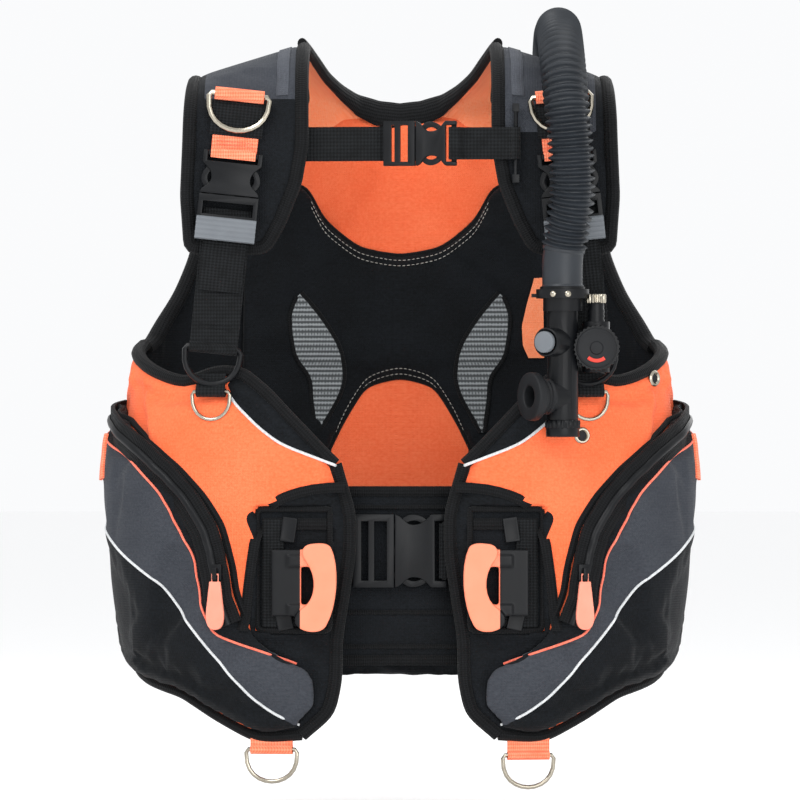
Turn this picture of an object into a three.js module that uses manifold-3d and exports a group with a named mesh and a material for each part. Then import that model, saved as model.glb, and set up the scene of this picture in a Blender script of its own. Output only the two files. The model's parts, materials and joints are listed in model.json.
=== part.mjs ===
// A jacket-style diving buoyancy compensator vest, as worn: +Z up, the wearer faces -Y, +X is the wearer's left.
// The origin is midway between the shoulders, where a wearer or a hanger carries the vest. Millimetres.
import * as THREE from 'three';
import Module from 'manifold-3d';
import { mergeVertices } from 'three/addons/utils/BufferGeometryUtils.js';

const wasm = await Module();
wasm.setup();

// ---- Driving dimensions ----
const gap = 0.3; // between pieces that touch
const hip = { halfWidth: 256, height: -410, taperUp: 667, taperDown: 497 }; // widest place of the body form
const chestHalfWidth = 205; // half width of the body form above the arm holes
const frontDepth = 118; // from the origin to the lobes' outer face
const backDepth = 108; // from the origin to the back panel's outer face
const squareness = 2.6; // exponent of the body form's superellipse
const seamAngle = 100; // where a lobe meets the back panel, in degrees round from the front

const lobe = { outerEdge: 5, innerEdge: 16, innerMid: 22 }; // depths under the body form
const panel = { outerEdge: 4, innerEdge: 15, innerMid: 22, bottom: -545, top: -46.5, neck: -27 };
const pad = { thickness: 14, edge: 6, halfWidth: 150 };
const pocket = { proudMid: 11, proudEdge: 3 };
const zipProud = 12; // how far a zip's slider stands out from the body form
const recess = { near: 58, far: 127, bottom: -500, top: -388, depth: 14 };
const pouch = { clearance: 2.4, cover: 4 };
const band = { bottom: -526, top: -374, depth: 36, thickness: 2.5, overlapAngle: 16, endAngle: 120 };
const yoke = { tip: -168, frontBase: -60, topInner: 22, slope: 0.31, inner: 83, outer: 185, thickness: 15, edge: 7,
  arch: 2.3 };

const webbing = { shoulder: 42, waist: 50, chest: 30, thickness: 2 };
const wire = { shoulder: 2.6, small: 1.8, lower: 2.0, plastic: 2.6 };
const ringPlay = 0.6; // between a ring's wire and its sleeve
const [barFront, barBack] = [2.5, 3.2]; // how far a buckle's end bar is set in from its faces
const sleeveWall = 1.5;

const strapTilt = 6; // degrees that each shoulder strap leans outwards going down
const strapTop = { x: 144, z: -71 }; // middle of the loop that carries the shoulder buckle
const buckleShoulder = { webbing: webbing.shoulder, frame: webbing.shoulder + 10, thick: 10, male: 36, prong: 25,
  female: 38, slot: 5 };
const buckleWaist = { webbing: webbing.waist, frame: webbing.waist + 14, thick: 11, male: 36, prong: 30, female: 46,
  slot: 6 };
const buckleChest = { webbing: webbing.chest, frame: webbing.chest + 9, thick: 9, male: 28, prong: 24, female: 36,
  slot: 5 };

const chest = { z: -72, rightX: 101, leftX: -98, railHalf: 31, railRadius: 2, footSize: 7 };
const strapClearance = 1.9199; // from the body form forward to the yokes' face, where the strap rings hang
const railProud = 4.6; // from the left yoke's face forward to its rail
const railBehind = 6; // from the right yoke's back to its rail
const chestLift = 1.6; // from the chest strap's middle back to the buckle's back
const waist = { z: -428, frontY: 24.7 - frontDepth };

const hose = { radius: 18.5, sides: 12, steps: 22 };
// The hose's route on the wearer's left shoulder, from the elbow behind to the inflator in front.
const hoseRoute = [[140, 113, -36], [140, 113, -10], [140, 97, 14], [140, 56, 29], [140, 0, 31.5],
  [140, -58, 28], [141, -112, 4], [144, -137, -35],
  [148, -142, -80], [149, -142, -120], [144, -138, -152], [141, -136, -176], [141, -136, -199.7]];
const inflator = { x: 141, y: -136, z: -204, tube: 13.5, neck: 17, flange: 23, length: 124, capHeight: 12 };

const plate = { thickness: 6, halfWidth: 105, top: -70, bottom: -430, bandSlotX: 78 };
const tank = { radius: 92, bandZ: -270, bandWidth: 50, bandThickness: 2.2 };

// ---- Materials ----
const material = (color, roughness, metalness = 0) => new THREE.MeshStandardMaterial({ color, roughness, metalness });
const orangeNylon = material(0xf26a3c, 0.7);
const blackNylon = material(0x17191c, 0.8);
const greyNylon = material(0x3d4249, 0.75);
const blackWebbing = material(0x1c1f22, 0.85);
const coralWebbing = material(0xf4705a, 0.8);
const blackPlastic = material(0x202327, 0.45);
const greyPlastic = material(0x8d9298, 0.5);
const coralPlastic = material(0xf9825c, 0.5);
const steel = material(0xb8b2a4, 0.25, 1);
const hoseRubber = material(0x24292d, 0.6);
const softRubber = material(0x1b1d20, 0.7);

const vest = new THREE.Group();

// ---- Solids from surfaces ----
const radians = (degrees) => degrees * Math.PI / 180;
const mix = (a, b, t) => a + (b - a) * t;
const bump = (t) => 1 - Math.pow(Math.abs(2 * t - 1), 4); // 0 at both ends, flat at 1 between

function volumeOf(geometry) {
  const p = geometry.getAttribute('position');
  const index = geometry.index.array;
  const [a, b, c] = [new THREE.Vector3(), new THREE.Vector3(), new THREE.Vector3()];
  let volume = 0;
  for (let i = 0; i < index.length; i += 3) {
    a.fromBufferAttribute(p, index[i]);
    b.fromBufferAttribute(p, index[i + 1]);
    c.fromBufferAttribute(p, index[i + 2]);
    volume += a.dot(b.cross(c)) / 6;
  }
  return volume;
}

function closedGeometry(points, faces) {
  const geometry = new THREE.BufferGeometry();
  geometry.setAttribute('position', new THREE.Float32BufferAttribute(points.flatMap((p) => [p.x, p.y, p.z]), 3));
  geometry.setIndex(faces);
  if (volumeOf(geometry) < 0) {
    for (let i = 0; i < faces.length; i += 3) [faces[i + 1], faces[i + 2]] = [faces[i + 2], faces[i + 1]];
    geometry.setIndex(faces);
  }
  return geometry;
}

// A closed solid between an outer and an inner surface, each a function of (u, v) that gives a point.
function shellGeometry(columns, rows, outer, inner) {
  const points = [];
  for (const surface of [outer, inner]) {
    for (const v of rows) {
      for (const u of columns) points.push(surface(u, v));
    }
  }
  const [nu, nv] = [columns.length, rows.length];
  const at = (layer, i, j) => layer * nu * nv + j * nu + i;
  const faces = [];
  const quad = (a, b, c, d) => faces.push(a, b, c, a, c, d);
  for (let j = 0; j < nv - 1; j++) {
    for (let i = 0; i < nu - 1; i++) {
      quad(at(0, i, j), at(0, i + 1, j), at(0, i + 1, j + 1), at(0, i, j + 1));
      quad(at(1, i, j), at(1, i, j + 1), at(1, i + 1, j + 1), at(1, i + 1, j));
    }
  }
  for (let i = 0; i < nu - 1; i++) {
    quad(at(0, i, 0), at(1, i, 0), at(1, i + 1, 0), at(0, i + 1, 0));
    quad(at(0, i, nv - 1), at(0, i + 1, nv - 1), at(1, i + 1, nv - 1), at(1, i, nv - 1));
  }
  for (let j = 0; j < nv - 1; j++) {
    quad(at(0, 0, j), at(0, 0, j + 1), at(1, 0, j + 1), at(1, 0, j));
    quad(at(0, nu - 1, j), at(1, nu - 1, j), at(1, nu - 1, j + 1), at(0, nu - 1, j + 1));
  }
  return closedGeometry(points, faces);
}

const even = (n) => Array.from({ length: n + 1 }, (_, i) => i / n);

// A ring of round wire along a closed line of points that lies in the XZ plane.
function wireRing(points, radius, sides = 8) {
  const vertices = [];
  const faces = [];
  const n = points.length;
  points.forEach((p, i) => {
    const tangent = points[(i + 1) % n].clone().sub(points[(i + n - 1) % n]).normalize();
    const across = new THREE.Vector3(tangent.z, 0, -tangent.x);
    for (let k = 0; k < sides; k++) {
      const a = 2 * Math.PI * k / sides;
      const up = new THREE.Vector3(0, radius * Math.sin(a), 0);
      vertices.push(p.clone().addScaledVector(across, radius * Math.cos(a)).add(up));
    }
  });
  for (let i = 0; i < n; i++) {
    for (let k = 0; k < sides; k++) {
      const [a, b] = [i * sides + k, i * sides + (k + 1) % sides];
      const [c, d] = [((i + 1) % n) * sides + k, ((i + 1) % n) * sides + (k + 1) % sides];
      faces.push(a, b, d, a, d, c);
    }
  }
  return closedGeometry(vertices, faces);
}

// The centre line of a D-ring: a straight bar on top at z 0, and a round bow hanging to -drop.
function ringLine(width, drop) {
  const points = [];
  const half = width / 2;
  for (const x of [-0.92, -0.3, 0.3, 0.92]) points.push(new THREE.Vector3(x * half, 0, 0));
  for (let i = 0; i <= 12; i++) {
    const a = Math.PI * i / 12;
    points.push(new THREE.Vector3(half * Math.cos(a), 0, -3 - (drop - 3) * Math.pow(Math.sin(a), 0.8)));
  }
  return points;
}

const solidOf = (geometry) => {
  const bare = new THREE.BufferGeometry().setAttribute('position',
    (geometry.index ? geometry.toNonIndexed() : geometry).getAttribute('position'));
  const merged = mergeVertices(bare, 1e-3);
  return new wasm.Manifold(new wasm.Mesh({
    numProp: 3, vertProperties: merged.attributes.position.array, triVerts: new Uint32Array(merged.index.array) }));
};
const geometryOf = (solid) => {
  const mesh = solid.getMesh();
  return new THREE.BufferGeometry()
    .setAttribute('position', new THREE.BufferAttribute(new Float32Array(mesh.vertProperties), 3))
    .setIndex(new THREE.BufferAttribute(mesh.triVerts, 1));
};
const joined = (...geometries) => geometryOf(geometries.map(solidOf).reduce((a, b) => a.add(b)));
const cut = (geometry, ...tools) => geometryOf(tools.map(solidOf).reduce((a, b) => a.subtract(b), solidOf(geometry)));

const box = (x0, x1, y0, y1, z0, z1) =>
  new THREE.BoxGeometry(x1 - x0, y1 - y0, z1 - z0).translate((x0 + x1) / 2, (y0 + y1) / 2, (z0 + z1) / 2);
const cylinder = (radius, length, sides = 16) => new THREE.CylinderGeometry(radius, radius, length, sides);
// A cylinder along a direction, from start on.
function rod(radius, start, direction, length, sides = 16) {
  const along = new THREE.Vector3(...direction).normalize();
  const turn = new THREE.Quaternion().setFromUnitVectors(new THREE.Vector3(0, 1, 0), along);
  return cylinder(radius, length, sides).applyQuaternion(turn)
    .translate(...new THREE.Vector3(...start).addScaledVector(along, length / 2).toArray());
}

const outline = (points) => new THREE.Shape(points.map(([x, y]) => new THREE.Vector2(x, y)));
const extrude = (shape, depth) => new THREE.ExtrudeGeometry(shape, { depth, bevelEnabled: false, curveSegments: 8 });
// An outline drawn in (x, z), made depth thick from y = front backwards.
const extrudeBack = (shape, front, depth) => extrude(shape, depth).rotateX(Math.PI / 2).translate(0, front + depth, 0);
// An outline drawn in (y, z), made width wide and centred on x = 0.
const extrudeAcross = (shape, width) =>
  extrude(shape, width).applyMatrix4(new THREE.Matrix4().set(0, 0, 1, -width / 2, 1, 0, 0, 0, 0, 1, 0, 0, 0, 0, 0, 1));

function add(name, geometry, look, parent = vest) {
  const mesh = new THREE.Mesh(geometry, look);
  mesh.name = name;
  parent.add(mesh);
  return mesh;
}

// ---- The body form that every soft panel follows ----
const taper = (z) => (z > hip.height ? hip.taperUp : hip.taperDown);
const halfWidth = (z) => Math.max(chestHalfWidth, hip.halfWidth * (1 - ((z - hip.height) / taper(z)) ** 2));
const power = (value, exponent) => Math.sign(value) * Math.pow(Math.abs(value), exponent);

// A point at an angle round from the front and a height, at a depth under the form's surface.
function onBody(angle, z, depth = 0) {
  const half = halfWidth(z);
  const place = (degrees) => {
    const a = radians(degrees);
    const reach = Math.cos(a) > 0 ? frontDepth : backDepth;
    return new THREE.Vector3(half * power(Math.sin(a), 2 / squareness), -reach * power(Math.cos(a), 2 / squareness), z);
  };
  const tangent = place(angle + 1).sub(place(angle - 1)).normalize();
  const inwards = new THREE.Vector3(-tangent.y, tangent.x, 0);
  const point = place(angle);
  return point.addScaledVector(inwards, inwards.dot(point) < 0 ? depth : -depth);
}
const frontAngle = (x, z) => {
  const share = Math.min(1, Math.pow(Math.abs(x) / halfWidth(z), squareness / 2));
  return Math.sign(x) * THREE.MathUtils.radToDeg(Math.asin(share));
};

// ---- Planes that the straps lie in, in front of the form ----
// the yokes' face clears the lobes where the strap rings hang in front of them
const yokeFrontY = onBody(frontAngle(163, -284), -284).y - strapClearance;
const railFrontY = yokeFrontY - railProud;
const railBackY = yokeFrontY + yoke.thickness + railBehind;
const front = (x, z) => [frontAngle(x, z), z];
const backY = (x, z, depth = 0) => onBody(180 - frontAngle(x, z), z, depth).y;

const edgeCurve = (points) => {
  const places = points.map(([angle, z]) => new THREE.Vector3(angle, z, 0));
  const curve = new THREE.CatmullRomCurve3(places, false, 'catmullrom', 0.3);
  return (t) => curve.getPointAt(t);
};
// A panel over the body form, inside four edge curves of (angle, height) that share their corners.
function bodyPatch(edges, columns, rows, outerDepth, innerDepth) {
  const [bottom, top, near, far] = edges.map(edgeCurve);
  const place = (u, v, depth) => {
    const p = bottom(u).multiplyScalar(1 - v).addScaledVector(top(u), v)
      .addScaledVector(near(v), 1 - u).addScaledVector(far(v), u)
      .addScaledVector(bottom(0), -(1 - u) * (1 - v)).addScaledVector(bottom(1), -u * (1 - v))
      .addScaledVector(top(0), -(1 - u) * v).addScaledVector(top(1), -u * v);
    return onBody(p.x, p.y, depth);
  };
  return shellGeometry(columns, rows, (u, v) => place(u, v, outerDepth(u, v)), (u, v) => place(u, v, innerDepth(u, v)));
}
const swell = (u, v) => Math.sqrt(bump(u) * bump(v));

// ---- Soft panels ----
const lobeEdges = [
  [front(87, -588), front(126, -590), front(160, -574), front(196, -553), [76, -540], [seamAngle, -522]],
  [front(57, -352), front(87, -322), front(117, -291), front(140, -273), front(162, -271), front(190, -280),
    front(212, -275), [80, -258], [seamAngle, -247]],
  [front(87, -588), front(64, -568), front(57, -540), front(56, -505), front(50, -465), front(45, -430),
    front(45, -395), front(57, -352)],
  [[seamAngle, -522], [seamAngle, -247]],
];
const lobeForm = (grow) => bodyPatch(lobeEdges, even(12), even(9),
  (u, v) => mix(lobe.outerEdge, 0, swell(u, v)) - grow, (u, v) => mix(lobe.innerEdge, lobe.innerMid, swell(u, v)));
function lobeGeometry() {
  const shell = lobeForm(0);
  const reach = sleeveReach(wire.small);
  const tab = [sleeveGeometry(26, wire.small, 7.4), box(-13, 13, reach - 1, reach + 6, -3.7, 3.7)];
  return joined(cut(shell, recessForm(0, -12, recess.depth)), ...tab.map((g) => g.applyMatrix4(lobeRingPlace())));
}

// The weight pocket's recess in a lobe, made smaller by margin all round, between two depths.
function recessForm(margin, outerDepth, innerDepth) {
  const [x0, x1] = [recess.near + margin, recess.far - margin];
  const [z0, z1] = [recess.bottom + margin, recess.top - margin];
  return shellGeometry(even(3), even(2),
    (u, v) => { const z = mix(z0, z1, v); return onBody(frontAngle(mix(x0, x1, u), z), z, outerDepth); },
    (u, v) => { const z = mix(z0, z1, v); return onBody(frontAngle(mix(x0, x1, u), z), z, innerDepth); });
}

const pocketEdges = [
  [front(92, -584), front(126, -585), front(160, -569), front(196, -549), [76, -536], [97, -518]],
  [front(137, -502), front(148, -470), front(150, -431), front(157, -405), front(172, -378), front(196, -354),
    front(222, -334), [75, -312], [97, -296]],
  [front(92, -584), front(74, -560), front(80, -532), front(112, -518), front(137, -502)],
  [[97, -518], [97, -296]],
];
function pocketGeometry() {
  const proud = (u, v) => -mix(pocket.proudEdge, pocket.proudMid, swell(u, v));
  const form = bodyPatch(pocketEdges, even(9), even(7), proud, () => 9);
  return cut(form, lobeForm(gap));
}

// The arm-hole edge of the back panel, as a half width at a height.
const armHolePoints = [[-46, 183], [-100, 187], [-161, 190], [-200, 205], [-228, 222], [-248, 233]];
const armHole = new THREE.CatmullRomCurve3(armHolePoints.map(([z, x]) => new THREE.Vector3(x, z, 0)));
function panelEdgeAngle(z) {
  if (z <= -248) return seamAngle + 0.15;
  const share = Math.max(0, (-46 - z) / (248 - 46));
  return 180 - frontAngle(Math.min(armHole.getPoint(share).x, halfWidth(z) * 0.988), z);
}
function backPanelGeometry(grow = 0) {
  const half = [0.14, 0.27, 0.31, 0.45, 0.6, 0.75, 0.88, 1];
  const columns = [...half.map((u) => -u).reverse(), 0, ...half];
  const topOf = (u) => (Math.abs(u) < 0.3 ? panel.neck + 8 * (u / 0.27) ** 2 : panel.top);
  const place = (u, v, depth) => {
    const z = mix(mix(panel.bottom, -522, u * u), topOf(u), v);
    return onBody(180 - u * (180 - panelEdgeAngle(z)), z, depth);
  };
  const full = (u, v) => Math.sqrt(bump((u + 1) / 2) * bump(v));
  return shellGeometry(columns, even(12), (u, v) => place(u, v, mix(panel.outerEdge, 0, full(u, v))),
    (u, v) => place(u, v, mix(panel.innerEdge, panel.innerMid, full(u, v)) + grow));
}

// The back pad lies inside the back panel: scooped at the neck and arched over the small of the back.
function backPadGeometry() {
  const lowEdge = new THREE.SplineCurve([[0, -276], [32, -284], [54, -317], [72, -352], [100, -384], [150, -400]]
    .map((p) => new THREE.Vector2(...p)));
  const highEdge = new THREE.SplineCurve([[0, -165], [38, -158], [70, -134], [88, -104], [112, -100], [150, -165]]
    .map((p) => new THREE.Vector2(...p)));
  const rest = panel.innerMid;
  const place = (u, v, depth) => {
    const [low, high] = [lowEdge.getPoint(Math.abs(u)), highEdge.getPoint(Math.abs(u))];
    const [x, z] = [Math.sign(u) * mix(low.x, high.x, v), mix(low.y, high.y, v)];
    return onBody(180 - frontAngle(x, z), z, depth);
  };
  const form = shellGeometry(even(12).map((u) => 2 * u - 1), even(5), (u, v) => place(u, v, rest - 7),
    (u, v) => place(u, v, rest + mix(pad.edge, pad.thickness, Math.sqrt(bump((u + 1) / 2) * bump(v)))));
  return cut(form, backPanelGeometry(gap));
}

// A shoulder yoke: from the back panel's top over the shoulder and down the chest to a tip behind the strap.
const yokeInner = new THREE.SplineCurve([[0, 86], [0.3, 83], [0.55, 84], [0.72, 84], [0.82, 90], [0.92, 104], [1, 120]]
  .map((p) => new THREE.Vector2(...p)));
const yokeOuter = new THREE.SplineCurve([[0, 182], [0.4, 183], [0.7, 186], [0.85, 188], [1, 184]]
  .map((p) => new THREE.Vector2(...p)));
const archShare = 0.68; // share of the yoke's length that is the arch over the shoulder
function yokePoint(x, s, depth) {
  const rearY = backY(x, panel.top + gap, 2);
  const [centre, reach] = [(rearY + yokeFrontY) / 2, (rearY - yokeFrontY) / 2];
  const top = yoke.topInner - (x - yoke.inner) * yoke.slope;
  const line = (share) => {
    if (share > archShare) {
      return new THREE.Vector3(x, yokeFrontY, mix(yoke.frontBase, yoke.tip, (share - archShare) / (1 - archShare)));
    }
    const a = Math.PI * share / archShare;
    const base = mix(panel.top + gap, yoke.frontBase, share / archShare);
    return new THREE.Vector3(x, centre + reach * power(Math.cos(a), 2 / yoke.arch),
      base + (top - base) * Math.pow(Math.sin(a), 2 / yoke.arch));
  };
  const step = 0.004;
  const tangent = line(Math.min(1, s + step)).sub(line(Math.max(0, s - step))).normalize();
  return line(s).add(new THREE.Vector3(0, -tangent.z, tangent.y).multiplyScalar(depth));
}
function yokeGeometry() {
  const place = (u, s, depth) => yokePoint(mix(yokeInner.getPoint(s).y, yokeOuter.getPoint(s).y, u), s, depth);
  const full = (u, s) => Math.sqrt(bump(u) * bump(Math.min(1, Math.max(0, mix(0.04, 0.96, s)))));
  return shellGeometry(even(5), even(16), (u, s) => place(u, s, 0),
    (u, s) => place(u, s, mix(yoke.edge, yoke.thickness, full(u, s))));
}

// Half of the cummerbund, sewn to the back panel. The wearer's left half lies over the right half at the front.
function cummerbundGeometry(depth) {
  const place = (u, v, extra) => {
    const angle = mix(-band.overlapAngle, band.endAngle, u);
    const outwards = Math.max(0, angle - seamAngle) / (band.endAngle - seamAngle);
    return onBody(angle, mix(band.bottom, band.top, v), mix(depth, panel.innerEdge, outwards) + extra);
  };
  const form = shellGeometry(even(13), [0, 0.5, 1], (u, v) => place(u, v, 0), (u, v) => place(u, v, band.thickness));
  return cut(form, backPanelGeometry(gap));
}

// ---- Hardware ----
// A flat strap that ends in a sleeve round a bar: length from the bar's middle to the strap's free end, in +z.
function loopProfile(length, thickness, barRadius) {
  const hole = barRadius + ringPlay;
  const outer = hole + sleeveWall;
  const shape = new THREE.Shape();
  const start = Math.acos(thickness / 2 / outer);
  shape.moveTo(thickness / 2, length);
  shape.lineTo(-thickness / 2, length);
  shape.lineTo(-thickness / 2, Math.sin(start) * outer);
  shape.absarc(0, 0, outer, Math.PI - start, 2 * Math.PI + start, false);
  shape.lineTo(thickness / 2, length);
  shape.holes.push(new THREE.Path().absarc(0, 0, hole, 0, 2 * Math.PI, true));
  return shape;
}

// A sleeve with a hole for a bar along x, centred on the bar, with a flat back that rests on what it is sewn to.
function sleeveGeometry(width, barRadius, height) {
  const hole = barRadius + ringPlay;
  const wall = hole + sleeveWall;
  const shape = outline([[wall, -height / 2], [wall, height / 2], [-wall * 0.4, height / 2], [-wall, height / 4],
    [-wall, -height / 4], [-wall * 0.4, -height / 2]]);
  shape.holes.push(new THREE.Path().absarc(0, 0, hole, 0, 2 * Math.PI, true));
  return extrudeAcross(shape, width);
}
const sleeveReach = (barRadius) => barRadius + ringPlay + sleeveWall;

// Side-release buckles: the male half goes up into the female half, and z = 0 is where they meet.
function armOutline(b, side) {
  const [half, tip] = [b.frame / 2, b.prong];
  const shape = new THREE.Shape();
  shape.moveTo(side * (half - 9), -1);
  shape.bezierCurveTo(side * (half - 6), tip * 0.25, side * (half + 1), tip * 0.3, side * (half - 0.5), tip * 0.62);
  shape.bezierCurveTo(side * (half - 2), tip * 0.9, side * (half - 6), tip, side * (half - 9), tip);
  shape.lineTo(side * (half - 10), tip * 0.82);
  shape.bezierCurveTo(side * (half - 6), tip * 0.8, side * (half - 4.5), tip * 0.6, side * (half - 6), tip * 0.45);
  shape.bezierCurveTo(side * (half - 8), tip * 0.3, side * (half - 12), tip * 0.25, side * (half - 13), -1);
  return shape;
}
function maleGeometry(b) {
  const half = b.frame / 2;
  const inner = b.webbing / 2 + 1;
  const core = b.thick / 2 - 3; // half thickness of what goes between the female's plates
  const mid = -b.thick / 2;
  return joined(
    box(-half, -inner, -b.thick, 0, -b.male, -0.4),
    box(inner, half, -b.thick, 0, -b.male, -0.4),
    box(-half, half, -b.thick, -4, -6.5, -0.4),
    box(-half, half, -b.thick, -4.2, -b.male * 0.56 - 2.5, -b.male * 0.56 + 2.5),
    box(-half, half, -b.thick, -4, -b.male, -b.male + 7),
    box(-4.5, 4.5, mid - core, mid + core, -1, b.prong * 0.9),
    ...[-1, 1].map((side) => extrudeBack(armOutline(b, side), mid - core, 2 * core)),
    box(-half + 4, half - 4, mid - core, mid + core, -4, 0),
  );
}
function femaleGeometry(b) {
  const half = b.frame / 2;
  const inner = b.webbing / 2 + 1;
  const shell = new THREE.Shape();
  const waistX = half - 9;
  shell.moveTo(-half, 0.4);
  shell.lineTo(half, 0.4);
  shell.bezierCurveTo(half - 1, b.prong * 0.25, waistX, b.prong * 0.3, waistX, b.prong * 0.55);
  shell.bezierCurveTo(waistX, b.prong * 0.9, half - 3, b.prong * 0.95, half, b.prong + 2.5);
  shell.lineTo(half, b.female);
  shell.lineTo(-half, b.female);
  shell.lineTo(-half, b.prong + 2.5);
  shell.bezierCurveTo(-half + 3, b.prong * 0.95, -waistX, b.prong * 0.9, -waistX, b.prong * 0.55);
  shell.bezierCurveTo(-waistX, b.prong * 0.3, -half + 1, b.prong * 0.25, -half, 0.4);
  const body = extrudeBack(shell, -b.thick, b.thick);
  const barTop = b.female - 4.4;
  return cut(body,
    box(-half - 5, half + 5, -b.thick + 2.4, -2.4, -1, b.prong + 1),
    box(-inner, inner, -b.thick - 1, 1, barTop - b.slot, barTop),
    box(-inner, inner, -barBack, 1, barTop - 1, b.female + 1),
    box(-inner, inner, -b.thick - 1, -b.thick + barFront, barTop - 1, b.female + 1),
  );
}
// The middle of a female half's end bar, and the size of the hole that a loop of webbing needs round it.
const barOf = (b) => ({ y: -(b.thick - barFront + barBack) / 2, z: b.female - 2.2,
  holeY: (b.thick - barFront - barBack) / 2 + 0.6, holeZ: 2.7 });

// A thing drawn with its back on y = 0, and its front at -y, put on a strap's line.
function strapGroup(parent, x, y, z, tilt, turn = 0) {
  const group = new THREE.Group();
  group.rotation.order = 'ZYX';
  group.rotation.set(0, radians(tilt), radians(turn));
  group.position.set(x, y, z);
  parent.add(group);
  return group;
}

function buildSide(side, sign) {
  const half = new THREE.Group();
  half.scale.x = sign;
  vest.add(half);
  add(`${side}_lobe`, lobeGeometry(), orangeNylon, half);
  add(`${side}_cargo_pocket`, pocketGeometry(), greyNylon, half);
  add(`${side}_shoulder_yoke`, yokeGeometry(), greyNylon, half);
  const bandDepth = side === 'left' ? band.depth : band.depth + band.thickness + gap;
  add(`${side}_cummerbund`, cummerbundGeometry(bandDepth), blackNylon, half);
  buildShoulderStrap(side, half);
  buildLobeRing(side, half);
  buildLowerRing(side, half, side === 'left' ? 5 : 0);
  buildWeightPouch(side, half);
  buildZip(side, half);
}

function buildShoulderStrap(side, half) {
  const strap = strapGroup(half, strapTop.x, yokeFrontY - gap, strapTop.z, -strapTilt);
  // one coral tab holds the ring on the chest in a sleeve and, lower down, the buckle in a loop
  const b = buckleShoulder;
  const ringZ = 41;
  const clipZ = -47;
  const ring = strapGroup(strap, 0, -sleeveReach(wire.shoulder), ringZ, 0);
  add(`${side}_shoulder_tab`, joined(
    sleeveGeometry(webbing.shoulder + 1, wire.shoulder, 11).translate(0, -sleeveReach(wire.shoulder), ringZ),
    box(1 - webbing.shoulder / 2, webbing.shoulder / 2 - 1, -1.8, 0, clipZ + barOf(b).z, ringZ),
    loopGeometry(b).translate(0, 0, clipZ),
  ), coralWebbing, strap);
  add(`${side}_shoulder_d_ring`, wireRing(ringLine(webbing.shoulder + 11, 31), wire.shoulder), steel, ring);
  const clip = strapGroup(strap, 0, 0, clipZ, 0);
  add(`${side}_shoulder_buckle_female`, femaleGeometry(b), blackPlastic, clip);
  add(`${side}_shoulder_buckle_male`, maleGeometry(b), blackPlastic, clip);
  // the webbing passes behind the male half's bars and ends round the plastic ring
  const web = strapGroup(strap, 0, -webbing.thickness / 2 - 0.8, -181, 0);
  const strapEnd = loopProfile(122, webbing.thickness, wire.plastic);
  add(`${side}_shoulder_webbing`, extrudeAcross(strapEnd, webbing.shoulder), blackWebbing, web);
  add(`${side}_strap_ring`, wireRing(ringLine(webbing.shoulder + 7, 31), wire.plastic), blackPlastic, web);
}

// The coral loop round a female half's end bar, against what it is sewn to at y = 0.
function loopGeometry(b) {
  const { y, z, holeY, holeZ } = barOf(b);
  const shape = outline([[0, z + 4.6], [y - holeY, z + 4.6], [y - holeY - 1.5, z + 3.4], [y - holeY - 1.5, z - 4.1],
    [0, z - 4.1]]);
  shape.holes.push(outline([[y + holeY, z - holeZ], [y - holeY, z - holeZ], [y - holeY, z + holeZ],
    [y + holeY, z + holeZ]]));
  return extrudeAcross(shape, b.webbing - 3);
}

// The small ring under the strap's end hangs in a tab that is part of the lobe.
function lobeRingPlace() {
  const p = onBody(frontAngle(165, -289), -289);
  return new THREE.Matrix4().makeRotationZ(radians(12)).setPosition(p.x, p.y - sleeveReach(wire.small) + 0.8, p.z);
}
function buildLobeRing(side, half) {
  const ring = strapGroup(half, 0, 0, 0, 0, 12);
  ring.position.setFromMatrixPosition(lobeRingPlace());
  add(`${side}_lobe_ring`, wireRing(ringLine(34, 24), wire.small), steel, ring);
}

function buildLowerRing(side, half, drop) {
  const hem = -591;
  const { y } = onBody(frontAngle(112, hem), hem, 8.0589);
  const ring = strapGroup(half, 112, y, hem - 10 - drop, 0, 8);
  add(`${side}_lower_tab`, extrudeAcross(loopProfile(10 + drop, 3, wire.lower), 37), coralWebbing, ring);
  add(`${side}_lower_d_ring`, wireRing(ringLine(45, 28), wire.lower), steel, ring);
}

// The weight pouch lies in the lobe's recess; its handle stands in front and is pulled straight out.
function buildWeightPouch(side, half) {
  add(`${side}_weight_pouch`, recessForm(pouch.clearance, pouch.cover, recess.depth - gap), blackNylon, half);
  const grip = new THREE.Shape();
  grip.moveTo(60, -424);
  grip.bezierCurveTo(52, -440, 54, -475, 64, -492);
  grip.bezierCurveTo(68, -500, 84, -499, 90, -492);
  grip.bezierCurveTo(94, -486, 90, -481, 86, -478);
  grip.bezierCurveTo(72, -470, 72, -448, 82, -436);
  grip.bezierCurveTo(88, -428, 84, -421, 76, -421);
  grip.bezierCurveTo(70, -420, 63, -420, 60, -424);
  const face = onBody(frontAngle(75, -460), -460, 0).y;
  const cover = onBody(frontAngle(78, -440), -440, pouch.cover).y - gap;
  add(`${side}_weight_handle`, joined(
    extrudeBack(grip, face - 13, 11),
    box(78, 98, face - 8, cover, -484, -474),
    box(78, 98, face - 8, cover, -441, -431),
    box(86, 112, face - 6, cover - 3, -484, -426),
  ), coralPlastic, half);
}

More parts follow.
